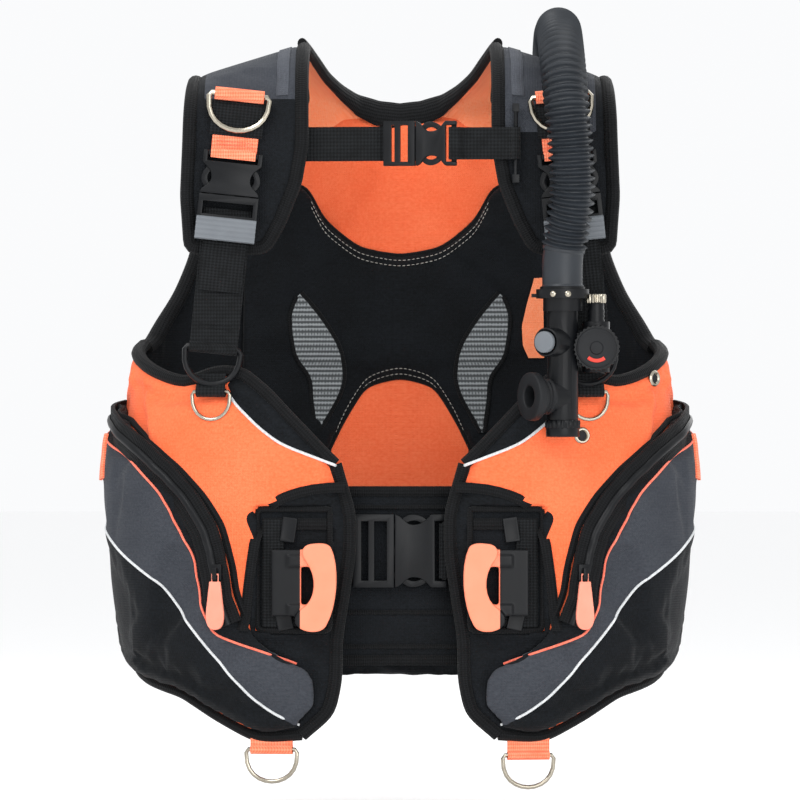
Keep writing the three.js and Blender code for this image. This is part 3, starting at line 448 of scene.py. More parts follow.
def puff(quilted, voxel, cap, pressure=4.0, smoothing=1, slack=0.05, hold=9.0):
    # cloth with some slack under a little air pressure, sewn down along its seam and held near its pattern
    o, seam = quilted
    modifier(o, "REMESH", mode="VOXEL", voxel_size=voxel * mm)
    applyAll(o)
    start = coords(o)
    group = o.vertex_groups.new(name="seam")
    sewn = np.nonzero(nearSeam(start / mm, seam, hold))[0]
    group.add([int(k) for k in sewn], 1.0, "REPLACE")
    cloth = modifier(o, "CLOTH")
    cloth.settings.quality = 4
    cloth.settings.vertex_group_mass = "seam"
    cloth.settings.shrink_min = -slack
    cloth.settings.use_pressure = True
    cloth.settings.uniform_pressure_force = pressure
    cloth.settings.effector_weights.gravity = 0
    for f in range(1, 21):
        scene.frame_set(f)
    done = o.evaluated_get(bpy.context.evaluated_depsgraph_get())
    moved = np.empty(len(start) * 3)
    done.data.vertices.foreach_get("co", moved)
    step = moved.reshape(-1, 3) - start
    length = np.maximum(np.linalg.norm(step, axis=1), 1e-9)
    o.modifiers.remove(cloth)
    o.vertex_groups.remove(group)
    scene.frame_set(1)
    setCoords(o, start + step * np.minimum(1, cap * mm / length)[:, None])
    modifier(o, "SMOOTH", factor=0.5, iterations=smoothing)
    modifier(o, "SUBSURF", levels=1, render_levels=1)
    applyAll(o)
    bpy.ops.object.shade_smooth()
    return o


def formAngles(points):
    # angle round the form and outward direction for many points at once
    x, y, z = points.T
    taper = np.where(z > form["height"], form["taperUp"], form["taperDown"])
    half = np.maximum(form["chest"], form["halfWidth"] * (1 - ((z - form["height"]) / taper) ** 2))
    reach = np.where(y < 0, form["front"], form["back"])
    e = form["squareness"] / 2
    a = np.degrees(np.arctan2((np.abs(x) / half) ** e, (np.abs(y) / reach) ** e))
    return np.where(y < 0, a, 180 - a)


def flowUV(o, place):
    # a UV map in metres, from a function of the points in millimetres
    uv = o.data.uv_layers.get("flow") or o.data.uv_layers.new(name="flow")
    flat = place(coords(o) / mm) * mm
    loops = np.empty(len(o.data.loops), dtype=int)
    o.data.loops.foreach_get("vertex_index", loops)
    uv.data.foreach_set("uv", flat[loops].ravel())


def roundBody(points):
    return np.stack([np.radians(formAngles(points)) * 205 * np.sign(points[:, 0] + 1e-6), points[:, 2]], axis=1)


def backRound(points):
    # the same round the back, without a break at the spine
    return np.stack([np.radians(180 - formAngles(points)) * 205 * np.sign(points[:, 0] + 1e-6), points[:, 2]], axis=1)


def mirrored(o, name):
    twin = o.copy()
    twin.data = o.data.copy()
    twin.name = twin.data.name = name
    scene.collection.objects.link(twin)
    points = coords(twin)
    points[:, 0] *= -1
    setCoords(twin, points)
    twin.data.flip_normals()
    return twin


def insidePolygon(points, polygon):
    inside = np.zeros(len(points), dtype=bool)
    x, y = points.T
    for (x0, y0), (x1, y1) in zip(polygon, polygon[1:] + polygon[:1]):
        crosses = (y0 > y) != (y1 > y)
        with np.errstate(divide="ignore", invalid="ignore"):
            inside ^= crosses & (x < (x1 - x0) * (y - y0) / (y1 - y0) + x0)
    return inside


def setPatch(o, values):
    # the attribute "patch" says how far inside the second cloth each point is, in millimetres
    o.data.attributes.new("patch", "FLOAT", "POINT").data.foreach_set("value", values)


def patchOf(o, *polygons, always=None):
    # the second cloth lies inside the outlines, which are lists of (angle, z)
    points = coords(o) / mm
    flat = np.stack([formAngles(points), points[:, 2]], axis=1)
    scaled = flat * [3.4, 1]
    best = np.full(len(flat), -1e3)
    for polygon in polygons:
        gap = np.full(len(flat), 1e3)
        ring = np.array(polygon) * [3.4, 1]
        for a, b in zip(ring, np.roll(ring, -1, axis=0)):
            d = b - a
            t = np.clip(((scaled - a) @ d) / max(1e-9, d @ d), 0, 1)
            gap = np.minimum(gap, np.linalg.norm(scaled - a - t[:, None] * d, axis=1))
        best = np.maximum(best, np.where(insidePolygon(flat, polygon), gap, -gap))
    if always is not None:
        best = np.maximum(best, always(points, flat))
    setPatch(o, best)


def measured(tree, route):
    # where a line laid on the cloth really runs, as (angle, z)
    line, _ = follow(tree, route)
    points = np.array(line) * [np.sign(line[0][0]) or 1, 1, 1]
    return [(float(a), float(p[2])) for a, p in zip(formAngles(points), points)]


def innerFace(points, flat):
    # positive on a pad's inner face
    leftSide = points * np.stack([np.copysign(1, points[:, 0])] + [np.ones(len(points))] * 2, axis=1)
    return np.array([(onForm(a, z) - p) @ outward(a, z) for (a, z), p in zip(flat, leftSide)]) - 10


def dress(o, materials, choose):
    # each face takes the material that choose gives for its centre (mm) and its normal
    for m in materials:
        o.data.materials.append(m)
    count = len(o.data.polygons)
    centre, normal = np.empty(count * 3), np.empty(count * 3)
    o.data.polygons.foreach_get("center", centre)
    o.data.polygons.foreach_get("normal", normal)
    index = choose(centre.reshape(-1, 3) / mm, normal.reshape(-1, 3))
    o.data.polygons.foreach_set("material_index", index.astype(np.int32))
    o.data.update()


def keep(o, body, slotName, *nodes, material=None, pad=None):
    if material:
        o.data.materials.clear()
        o.data.materials.append(material)
    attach(o, body)
    if nodes:
        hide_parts(*nodes)
    return o


def treeOf(*objects):
    points, faces = [], []
    for o in objects:
        base = len(points)
        points += [tuple(p) for p in coords(o)]
        faces += [[base + i for i in f.vertices] for f in o.data.polygons]
    return BVHTree.FromPolygons(points, faces)


def onSurface(tree, angle, z, lift=0.0):
    n = outward(angle, z)
    start = (onForm(angle, z) + n * 60) * mm
    hit, _, _, _ = tree.ray_cast(Vector(start), Vector(-n), 0.12)
    return (np.array(hit) / mm if hit else onBody(angle, z)) + n * lift


def even(line):
    # evens out small steps in a line of points
    line = np.array(line)
    for _ in range(2):
        line[1:-1] = (line[:-2] + 2 * line[1:-1] + line[2:]) / 4
    return line


# Straps, tapes and cords
def tape(width, thick, back=1.0):
    w, t = width / 2, thick
    return [(-w, -back), (-w, t * 0.6), (-w + t * 0.4, t), (w - t * 0.4, t), (w, t * 0.6), (w, -back)]


def rounded(halfWide, halfThick, sides=10, lift=0.0):
    turn = [2 * math.pi * k / sides for k in range(sides)]
    return [(-halfWide * math.cos(a), lift + halfThick * math.sin(a)) for a in turn]


def sweep(name, line, ups, profile, closed=False):
    # profile is a list of (aside, up) in mm, or a function of the share of the length that gives one
    line = np.array(line, dtype=float)
    count = len(line)
    if closed:
        tangents = np.roll(line, -1, axis=0) - np.roll(line, 1, axis=0)
    else:
        tangents = np.gradient(line, axis=0)
    tangents /= np.linalg.norm(tangents, axis=1)[:, None]
    far = lengthsAlong(line)
    points, across = [], []
    for i in range(count):
        shape = profile(far[i] / far[-1]) if callable(profile) else profile
        side = unitOf(np.cross(tangents[i], ups[i]))
        up = np.cross(side, tangents[i])
        points += [line[i] + side * a + up * b for a, b in shape]
        across.append(lengthsAlong(np.array(list(shape) + [shape[0]])))
    n = len(shape)
    faces, uvs = [], []
    for i in range(count if closed else count - 1):
        j = (i + 1) % count
        start, end = far[i], far[-1] + np.linalg.norm(line[0] - line[-1]) if j == 0 else far[j]
        for k in range(n):
            following = (k + 1) % n
            faces.append((i * n + k, j * n + k, j * n + following, i * n + following))
            uvs += [(start, across[i][k]), (end, across[j][k]), (end, across[j][k + 1]), (start, across[i][k + 1])]
    if not closed:
        for ring in (list(range(n)), list(range((count - 1) * n, count * n))[::-1]):
            faces.append(tuple(ring))
            uvs += [(0, across[0][k % n]) for k in range(n)]
    o = newMesh(name, np.array(points) * mm, faces)
    layer = o.data.uv_layers.new(name="flow")
    layer.data.foreach_set("uv", (np.array(uvs) * mm).ravel())
    recalc(o)
    shadeSmooth(o, 50)
    return o


def clothSheet(name, points, columns, thickness, place, offset=0, rounds=0, crease=None):
    # a thin sheet of cloth on a grid of points (mm), given row by row
    o = newMesh(name, np.array(points) * mm, gridFaces(len(points) // columns, columns))
    modifier(o, "SOLIDIFY", thickness=thickness * mm, offset=offset)
    if rounds:
        modifier(o, "SUBSURF", levels=rounds, render_levels=rounds)
    applyAll(o)
    recalc(o)
    flowUV(o, place)
    if crease:
        shadeSmooth(o, crease)
    else:
        bpy.ops.object.shade_smooth()
    return o


def follow(tree, route, step=4.0, lift=0.0):
    # a line laid on the cloth along (angle, z) points, with the outward direction at each
    length = sum(math.dist((a[0] * 3.4, a[1]), (b[0] * 3.4, b[1])) for a, b in zip(route, route[1:]))
    track = smoothLine(route, max(4, int(length / step)))
    line = even([onSurface(tree, a, z, lift) for a, z in track])
    return line, [outward(a, z) for a, z in track]


def edgeLine(route, depth, step=4.0):
    length = sum(math.dist((a[0] * 3.4, a[1]), (b[0] * 3.4, b[1])) for a, b in zip(route, route[1:]))
    track = smoothLine(route, max(4, int(length / step)))
    return [onBody(a, z, depth) for a, z in track], [outward(a, z) for a, z in track]


def bothSides(make):
    # the left piece is made and its mirror image is the right one
    left = make("left")
    right = mirrored(left, left.name.replace("left", "right"))
    return left, right


def stitches(name, line, ups, pitch=4.2, length=2.8, radius=0.35):
    # a row of short raised threads
    line = np.array(line)
    far = lengthsAlong(line)
    ups = np.array(ups)
    points, faces = [], []
    for s in np.arange(pitch, far[-1] - pitch, pitch):
        a, b = [np.array([np.interp(w, far, line[:, k]) for k in range(3)]) for w in (s, s + length)]
        u = np.array([np.interp(s, far, ups[:, k]) for k in range(3)])
        t = (b - a) / max(1e-6, np.linalg.norm(b - a))
        side = np.cross(t, u)
        base = len(points)
        for c, r in ((a, 0.5), ((a + b) / 2, 1.0), (b, 0.5)):
            points += [c + side * radius * r * x + u * radius * y * r for x, y in ((-1, 0), (0, 1), (1, 0), (0, -1))]
        for i in range(2):
            row = base + 4 * i
            faces += [(row + k, row + (k + 1) % 4, row + 4 + (k + 1) % 4, row + 4 + k) for k in range(4)]
        faces += [(base + 3, base + 2, base + 1, base), (base + 8, base + 9, base + 10, base + 11)]
    o = newMesh(name, np.array(points) * mm, faces)
    recalc(o)
    o.data.uv_layers.new(name="flow")
    return o


# Camera, light and floor
view = {"lens": 260, "centre": (0, -0.118, -0.296), "width": 0.696}


def makeView():
    camera = bpy.data.objects.new("camera", bpy.data.cameras.new("camera"))
    scene.collection.objects.link(camera)
    camera.data.lens = view["lens"]
    x, y, z = view["centre"]
    camera.location = (x, y - view["width"] * view["lens"] / 36, z)
    camera.rotation_euler = (math.pi / 2, 0, 0)
    scene.camera = camera
    scene.view_settings.view_transform = "Standard"
    world = bpy.data.worlds.new("studio")
    scene.world = world
    world.use_nodes = True
    world.node_tree.nodes["Background"].inputs["Color"].default_value = (0.96, 0.965, 0.975, 1)
    world.node_tree.nodes["Background"].inputs["Strength"].default_value = 1.0
    for name, place, size, power in (
        ("key", (-1.1, -1.7, 1.5), 1.1, 26),
        ("fill", (0.7, -2.3, 0.1), 1.6, 22),
        ("top", (0.2, 0.3, 1.9), 1.4, 12),
        ("back", (0.9, 1.9, 0.6), 1.6, 14),
    ):
        lamp = bpy.data.lights.new(name, "AREA")
        lamp.size, lamp.energy = size, power
        o = bpy.data.objects.new(name, lamp)
        scene.collection.objects.link(o)
        o.location = place
        o.rotation_euler = (Vector((0, 0, -0.3)) - Vector(place)).to_track_quat("-Z", "Y").to_euler()
    deselect()
    bpy.ops.mesh.primitive_circle_add(vertices=64, radius=14, fill_type="NGON", location=(0, 0, -0.665))
    floor = bpy.context.object
    floor.name = "paleFloor"
    pale, _, _ = startMaterial("palePaintedFloor", Base_Color=(0.97, 0.97, 0.97, 1), Roughness=0.8)
    floor.data.materials.append(pale)


makeView()

# Lobes
lobeEdges = [
    [front(87, -588), front(126, -590), front(160, -574), front(196, -553), (76, -540), (100, -522)],
    [front(57, -352), front(87, -322), front(117, -291), front(140, -273), front(162, -271), front(190, -280),
     front(212, -275), (80, -258), (100, -247)],
    [front(87, -588), front(64, -568), front(57, -540), front(56, -505), front(50, -465), front(45, -430),
     front(45, -395), front(57, -352)],
    [(100, -522), (100, -247)],
]
lobePad = {"edge": (7.5, 13.0), "middle": (1.5, 20.0), "voxel": 5.0, "cap": 5.0, "recessDepth": 12.5}
recess = {"x": (60, 126), "z": (-499, -389)}
pocketEdges = [
    [front(92, -584), front(126, -585), front(160, -569), front(196, -549), (76, -536), (97, -518)],
    [front(137, -502), front(148, -470), front(150, -431), front(157, -405), front(172, -378), front(196, -354),
     front(222, -334), (75, -312), (97, -296)],
    [front(92, -584), front(74, -560), front(80, -532), front(112, -518), front(137, -502)],
    [(97, -518), (97, -296)],
]
pocketPad = {"edge": (-1.5, 5.0), "middle": (-9.0, 5.0), "voxel": 4.5, "cap": 4.0}
neckPiping = [front(150, -292), front(140, -304), front(108, -332), front(80, -344), front(56, -353)]
recessLine = [front(48, -372), front(62, -371), front(91, -377), front(111, -386), front(121, -397), front(125, -414),
              front(132, -465), front(135, -497)]


def coonsEdge(edges):
    # the outline of a patch between four edges
    bottom, top, near, far = [[tuple(p) for p in smoothLine(e, 30)] for e in edges]
    return bottom + far + top[::-1] + near[::-1]


def shiftDepth(points, angles, depth, where):
    # moves the chosen points inwards so that none is shallower than depth
    for i in np.nonzero(where)[0]:
        sign = np.array([math.copysign(1, points[i, 0]), 1, 1])
        n = outward(angles[i], points[i, 2]) * sign
        shallow = (points[i] - onForm(angles[i], points[i, 2]) * sign) @ n
        if shallow > -depth:
            points[i] -= n * (shallow + depth)
    return points


def makeLobe(side):
    place = coons(lobeEdges)
    edge, middle = lobePad["edge"], lobePad["middle"]

    def layer(k):
        return lambda u, v: onBody(*place(u, v), mix(edge[k], middle[k], swell(u, v)))

    quilted = quilt(f"{side}LobePad", 30, 24, layer(0), layer(1))
    lobe = puff(quilted, lobePad["voxel"], lobePad["cap"], 2.0, slack=0.07)
    points = coords(lobe) / mm
    angles = formAngles(points)
    flat = np.stack([angles, points[:, 2]], axis=1)
    depth = np.array([(onForm(a, p[2]) - p) @ outward(a, p[2]) for a, p in zip(angles, points)])
    outerFace = depth < 9.5
    shrunk = [[(mix(a, 60, 0.04), mix(z, -430, 0.05)) for a, z in e] for e in pocketEdges]
    inPocket = insidePolygon(flat, coonsEdge(shrunk))
    points = shiftDepth(points, angles, 5.5, outerFace & inPocket)
    x, z = np.abs(points[:, 0]), points[:, 2]
    (x0, x1), (z0, z1) = recess["x"], recess["z"]
    inset = np.minimum.reduce([x - x0, x1 - x, z - z0, z1 - z])
    share = np.clip((inset + 3.0) / 6.0, 0, 1)
    for level in (0.5, 1.0):
        points = shiftDepth(points, angles, lobePad["recessDepth"] * level, outerFace & (share >= level - 0.01))
    setCoords(lobe, points * mm)
    flowUV(lobe, roundBody)
    return lobe


leftLobe = makeLobe("left")
print("lobes made")


# Cargo pockets
def sidePoint(x, z):
    return front(x * 0.965, z)


def routeOf(start, points, place):
    # a route on the body: (angle, z) points round the side, then (x, z) points on the front
    return start + [place(x, z) for x, z in points]


coralLine = routeOf(
    [(97, -318), (88, -326)],
    [(257, -336), (235, -353), (212, -378), (196, -410), (183, -438), (177, -472), (163, -500), (120, -516),
     (94, -526)],
    sidePoint,
)
whiteLine = routeOf(
    [(97, -392), (88, -398)],
    [(261, -408), (248, -426), (216, -454), (197, -478), (170, -512), (142, -545), (118, -566), (92, -579)],
    sidePoint,
)
zipLine = routeOf(
    [(97, -308)],
    [(247, -320), (226, -340), (203, -362), (183, -386), (168, -412), (159, -446), (155, -470), (147, -492)],
    front,
)


def makePocket(side):
    place = coons(pocketEdges)
    edge, middle = pocketPad["edge"], pocketPad["middle"]

    def layer(k):
        return lambda u, v: onBody(*place(u, v), mix(edge[k], middle[k], swell(u, v)))

    quilted = quilt(f"{side}CargoPocket", 28, 24, layer(0), layer(1))
    pocket = puff(quilted, pocketPad["voxel"], pocketPad["cap"], 2.0, slack=0.08)
    flowUV(pocket, roundBody)
    return pocket


leftPocket = makePocket("left")
clothTree = treeOf(leftLobe, leftPocket)
neckPatch = measured(clothTree, neckPiping) + [(8, -360), (8, -250), front(150, -250)]
recessPatch = measured(clothTree, recessLine) + [front(136, -640), (0, -640), (0, -372)]
upperPatch = measured(clothTree, coralLine) + [(0, -530), (0, -200), (112, -200), (112, -318)]
lowerPatch = measured(clothTree, whiteLine) + [(0, -579), (0, -700), (112, -700), (112, -392)]
patchOf(leftLobe, neckPatch, recessPatch, always=innerFace)
patchOf(leftPocket, upperPatch, lowerPatch)
for o, finish, slotName, node, fill in (
    (leftLobe, orangeAndBlack, "orange_nylon", "left_lobe", 0.35),
    (leftPocket, greyAndBlack, "grey_nylon", "left_cargo_pocket", 0.3),
):
    twin = mirrored(o, o.name.replace("left", "right"))
    keep(twin, "vest", slotName, node.replace("left", "right"), material=finish, pad=fill)
    keep(o, "vest", slotName, node, material=finish, pad=fill)
print("pockets made")

# Shoulder yokes
yoke = {
    "frontY": -102.5, "rearY": 101.2, "rearZ": -46.2, "frontBase": -60, "tip": -168, "top": 22, "slope": 0.31,
    "arch": 2.3, "archShare": 0.68, "stripeAside": 19,
}
yokeInner = [(0, 86), (0.3, 83), (0.55, 84), (0.72, 84), (0.82, 90), (0.92, 104), (1, 120)]
yokeOuter = [(0, 182), (0.4, 183), (0.7, 186), (0.85, 188), (1, 184)]


def along(table, t):
    return float(np.interp(t, [a for a, _ in table], [b for _, b in table]))


def yokeLine(x, s):
    y = yoke
    if s > y["archShare"]:
        return np.array([x, y["frontY"], mix(y["frontBase"], y["tip"], (s - y["archShare"]) / (1 - y["archShare"]))])
    a = math.pi * s / y["archShare"]
    middle, reach = (y["rearY"] + y["frontY"]) / 2, (y["rearY"] - y["frontY"]) / 2
    base = mix(y["rearZ"], y["frontBase"], s / y["archShare"])
    top = y["top"] - (x - 83) * y["slope"]
    e = 2 / y["arch"]
    return np.array([x, middle + reach * signedPower(math.cos(a), e), base + (top - base) * max(0, math.sin(a)) ** e])


def yokePoint(u, s, depth=0.0):
    x = mix(along(yokeInner, s), along(yokeOuter, s), u)
    t = yokeLine(x, min(1, s + 0.004)) - yokeLine(x, max(0, s - 0.004))
    t /= np.linalg.norm(t)
    return yokeLine(x, s) + np.array([0, -t[2], t[1]]) * depth


def yokeUp(u, s):
    d = yokePoint(u, s) - yokePoint(u, s, 1)
    return d / np.linalg.norm(d)


def makeYoke(side):
    def outer(u, v):
        return yokePoint(u, v, mix(3.5, 2.2, swell(u, v)))

    def inner(u, v):
        return yokePoint(u, v, mix(7, 13, swell(u, v)))

    pad = puff(quilt(f"{side}YokePad", 12, 44, outer, inner), 5.0, 1.6, pressure=1.5, slack=0.03)
    flowUV(pad, lambda p: np.stack([p[:, 0], p[:, 2] + p[:, 1]], axis=1))
    return pad


def dressYoke(o, greyTo):
    # grey cloth over the shoulder; black below it on the chest, at the outer side and underneath
    points = coords(o) / mm
    x, y, z = np.abs(points[:, 0]), points[:, 1], points[:, 2]
    low = np.where(y < -60, greyTo - z, -50)
    side = x - 171
    setPatch(o, np.maximum(low, side))


leftYoke, rightYoke = bothSides(makeYoke)
for side, o, greyTo in (("left", leftYoke, -62), ("right", rightYoke, -33)):
    dressYoke(o, greyTo)
    keep(o, "vest", "grey_nylon", f"{side}_shoulder_yoke", material=greyAndBlack, pad=0.5)


def makeYokeStripe(side):
    pad, line, ups = treeOf(leftYoke), [], []
    for s in np.linspace(0.2, 0.61, 70):
        hit, n, _, _ = pad.find_nearest(Vector((yokePoint(0, s, 2.5) + np.array([yoke["stripeAside"], 0, 0])) * mm))
        ups.append(np.array(n))
        line.append(np.array(hit) / mm + ups[-1] * 0.4)
    return sweep(f"{side}YokeStripe", even(line), even(ups), tape(11, 0.6, 1.2))


for o in bothSides(makeYokeStripe):
    keep(o, "vest", "grey_nylon", material=smoothGrey)


def makeYokeBinding(side):
    track = [(0, s) for s in np.linspace(0.015, 0.985, 90)]
    track += [(u, 0.985) for u in np.linspace(0, 1, 14)[1:-1]]
    track += [(1, s) for s in np.linspace(0.985, 0.015, 90)]
    line = even([yokePoint(mix(0.02, 0.98, u), s, 4.5 + 2 * min(1, max(0, (s - 0.88) / 0.08))) for u, s in track])
    return sweep(f"{side}YokeBinding", line, [yokeUp(u, s) for u, s in track], rounded(6.2, 5.4, 12))


for binding in bothSides(makeYokeBinding):
    keep(binding, "vest", "black_nylon", material=bindingTape)
print("yokes made")


# Back panel, back pad and collar
armHole = [(-46, 183), (-100, 187), (-161, 190), (-200, 205), (-228, 222), (-248, 233)]
armTable = [(z, x) for z, x in smoothLine(armHole, 40)][::-1]


def panelEdge(z):
    if z <= -248:
        return 100.15
    return 180 - frontAngle(min(along(armTable, min(z, -46)), halfWidth(z) * 0.988), z)


neckRim = [(0, -39), (20, -36), (38, -29), (52, -19), (66, -6), (78, 11), (86, 21)]


def panelPlace(u, v, depth):
    across = 205 * signedPower(math.sin(math.radians(abs(u) * 64)), 0.769)
    top = along(neckRim, across) if across < 38 else -29 - 17.5 * min(1, (across - 38) / 30)
    z = mix(mix(-545, -522, u * u), top, v)
    return onBody(180 - u * (180 - panelEdge(z)), z, depth)


def makePanel():
    def outer(u, v):
        return panelPlace(2 * u - 1, v, mix(5, 1, swell(u, v)))

    def inner(u, v):
        return panelPlace(2 * u - 1, v, mix(14, 21, swell(u, v)))

    panel = puff(quilt("backPanelPad", 56, 44, outer, inner), 5.5, 3.0, pressure=3.0)
    flowUV(panel, backRound)
    return panel


def dressPanel(o):
    # orange inside at the neck and the small of the back, and outside at the flanks; black elsewhere
    points = coords(o) / mm
    x, y, z = points.T
    flat = np.stack([formAngles(points), z], axis=1)
    inside = innerFace(points, flat) > 0
    neck = np.minimum(z + 190, 122 - np.abs(x))
    lumbar = np.minimum(np.minimum(62 - np.abs(x), -200 - z), z + 374)
    flank = np.minimum(np.abs(x) - 118, -120 - z)
    orange = np.where(inside, np.maximum(neck, lumbar), flank)
    setPatch(o, -orange)


panel = makePanel()
dressPanel(panel)
keep(panel, "vest", "orange_nylon", "back_panel", material=orangeAndBlack, pad=0.4)

padLow = [(0, -276), (32, -284), (54, -317), (72, -352), (100, -384), (148, -398)]
padHigh = [(0, -166), (38, -158), (70, -134), (88, -106), (112, -102), (148, -165)]
padLowTable, padHighTable = smoothLine(padLow, 40), smoothLine(padHigh, 40)


def padPlace(u, v, depth):
    at = abs(u) * 39
    i = min(int(at), 38)
    low = padLowTable[i] + (padLowTable[i + 1] - padLowTable[i]) * (at - i)
    high = padHighTable[i] + (padHighTable[i + 1] - padHighTable[i]) * (at - i)
    x, z = mix(low, high, v)
    return onBody(180 - frontAngle(math.copysign(x, u), z), z, depth)


def makeBackPad():
    def outer(u, v):
        return padPlace(2 * u - 1, v, 18)

    def inner(u, v):
        return padPlace(2 * u - 1, v, 26 + 7 * swell(u, v))

    pad = puff(quilt("backPad", 60, 34, outer, inner), 4.5, 2.5, pressure=3.0)
    flowUV(pad, backRound)
    return pad


backPad = makeBackPad()
keep(backPad, "vest", "black_nylon", "back_pad", material=blackNylon, pad=0.6)
insideTree = treeOf(panel, backPad)


def onInside(x, z, lift=0.0):
    # a point on the cloth that faces the wearer's back
    a = 180 - frontAngle(x, z)
    n = -outward(a, z)
    hit, _, _, _ = insideTree.ray_cast(Vector((onForm(a, z) + n * 80) * mm), Vector(-n), 0.09)
    return (np.array(hit) / mm if hit else onForm(a, z) + n * 30) + n * lift, n


def insideLine(route, lift, step=4.0):
    length = sum(math.dist(a, b) for a, b in zip(route, route[1:]))
    track = smoothLine(route, int(length / step))
    found = [onInside(x, z, lift) for x, z in track]
    return even([f[0] for f in found]), [f[1] for f in found]


def bothWays(route):
    return [(-x, z) for x, z in route[::-1] if x > 0] + list(route)


for name, offset in (("Upper", 0.0), ("Lower", -5.0)):
    for seam, route, way in (
        ("neckScoop", [(0, -170), (38, -163), (70, -140), (86, -113)], 1),
        ("lumbarArch", [(0, -272), (30, -281), (50, -310), (66, -346)], -1),
    ):
        line, ups = insideLine(bothWays([(x, z + way * offset) for x, z in route]), 0.5)
        keep(stitches(f"{seam}{name}Stitches", line, ups), "vest", "black_nylon", material=whiteThread)
for name, route in (
    ("neckScoopEdge", [(0, -166), (38, -159), (70, -135), (88, -106), (104, -101)]),
    ("lumbarArchEdge", [(0, -275), (32, -284), (54, -317), (72, -352), (100, -385)]),
):
    line, ups = insideLine(bothWays(route), 0.2)
    keep(sweep(name, line, ups, rounded(2.4, 1.8)), "vest", "black_nylon", material=bindingTape)

rimDepth = [(0, 99), (20, 97), (38, 90), (52, 76), (66, 54), (78, 24), (86, -8)]


def rimPoint(x):
    return np.array([x, along(rimDepth, abs(x)), along(neckRim, abs(x))])


def slantedFlat(points):
    return points[:, [0, 2]] + points[:, [1, 1]]


def makeNeckGusset(side):
    # lining between the yoke's rear inner edge and the curved neckline
    rim = [rimPoint(x) for x in np.linspace(86, 20, 30)]
    root = [yokePoint(0, s, 6) + np.array([7, 0, 0]) for s in np.linspace(0.36, 0.06, 18)]
    root += [np.array([x, 93.0, -66]) for x in np.linspace(80, 18, 12)]
    points = []
    for a, b in zip(root, rim):
        points += [mix(a, b, t) + np.array([0, 4 * math.sin(math.pi * t), 0]) for t in np.linspace(0, 1, 9)]
    return clothSheet(f"{side}NeckGusset", points, 9, 3.0, slantedFlat, rounds=1)


def makeYokeJoin(side):
    # cloth that joins the yoke's rear end to the top of the back panel
    points = []
    for u in np.linspace(0.0, 0.985, 26):
        top = yokePoint(u, 0.035, 7)
        x = min(top[0], 182)
        foot = onBody(180 - frontAngle(x, -60), -60, 3.4)
        points += [mix(top, foot, t) + np.array([0, 3 * math.sin(math.pi * t), 0]) for t in np.linspace(0, 1, 7)]
    return clothSheet(f"{side}YokeJoin", points, 7, 4.4, slantedFlat)


for o in bothSides(makeYokeJoin):
    keep(o, "vest", "black_nylon", material=blackNylon)

track = np.linspace(-87, 87, 90)
line = even([rimPoint(x) for x in track])
lean = [np.array([0, -0.9, 0.45]) if abs(x) < 40 else np.array([-0.5 * np.sign(x), -0.75, 0.45]) for x in track]


def collarProfile(share):
    # the binding widens into a collar facing at the nape
    return rounded(5.4 + 8.5 * math.sin(math.pi * share) ** 6, 4.4, 14)


collar = sweep("necklineBinding", line, even(lean), collarProfile)
keep(collar, "vest", "black_nylon", material=bindingTape)


# the neck gussets take the lighter orange, with painted light for the shade they lie in
for o in bothSides(makeNeckGusset):
    keep(o, "vest", "orange_nylon", material=orangeNylonPaintedLight)


def makeArmBinding(side):
    heights = np.linspace(-52, -250, 60)
    line = even([onBody(panelEdge(z) + 1.2, z, 9.5) for z in heights])
    ups = [outward(panelEdge(z), z) for z in heights]
    return sweep(f"{side}ArmHoleBinding", line, ups, rounded(6, 8.5, 12))


for binding in bothSides(makeArmBinding):
    keep(binding, "vest", "black_nylon", material=bindingTape)

patchRoutes = (
    [(93, -199), (75, -219), (57, -246), (51, -272), (56, -292), (75, -325)],
    [(97, -203), (104, -222), (98, -256), (84, -276), (82, -298), (78, -325)],
)


def makeMeshPatch(side):
    edge, far = [smoothLine(route, 26) for route in patchRoutes]
    points = [onInside(*mix(a, b, j / 8), 0.9)[0] for a, b in zip(edge, far) for j in range(9)]
    return clothSheet(f"{side}MeshPatch", points, 9, 1.2, roundBody, offset=-1, crease=60)


for patch in bothSides(makeMeshPatch):
    keep(patch, "vest", "grey_nylon", material=greyMesh)


for k, route in enumerate(patchRoutes):
    line, ups = insideLine(route, 1.2)
    edge = sweep(f"leftMeshPatchEdge{k}", line, ups, rounded(2.2, 1.4))
    for o in (edge, mirrored(edge, f"rightMeshPatchEdge{k}")):
        keep(o, "vest", "black_nylon", material=bindingTape)
print("back made")


# Cummerbund and waist webbing
def makeCummerbund(side):
    depth = 36 if side == "left" else 38.8

    def place(u, v, extra):
        angle = mix(-16, 119, u)
        far = max(0, angle - 100) / 19
        return onBody(angle, mix(-526, -374, v), mix(depth, 17, far) + extra)

    o, _ = quilt(f"{side}Cummerbund", 60, 24, lambda u, v: place(u, v, -0.5), lambda u, v: place(u, v, 2.0))
    if side == "right":
        points = coords(o)
        points[:, 0] *= -1
        setCoords(o, points)
        o.data.flip_normals()
    flowUV(o, lambda p: p[:, [0, 2]])
    shadeSmooth(o, 40)
    return o


for side in ("left", "right"):
    keep(makeCummerbund(side), "vest", "black_nylon", f"{side}_cummerbund", material=blackNylon)
for z, width in ((-376, 9), (-524, 9), (-482, 4), (-512, 4), (-390, 4)):
    line = [onBody(a, z, 35.2) for a in np.linspace(-16, 46, 50)]
    ups = [outward(a, z) for a in np.linspace(-16, 46, 50)]
    keep(sweep(f"cummerbundTape{-z}", line, ups, tape(width, 1.2)), "vest", "black_nylon", material=bindingTape)
print("cummerbund made")


# Lobe edges: bindings and pipings
def keepPairs(pieces):
    # each left piece and its mirror image
    for left, finish, slotName in pieces:
        right = mirrored(left, left.name.replace("left", "right"))
        keep(left, "vest", slotName, material=finish)
        keep(right, "vest", slotName, material=finish)


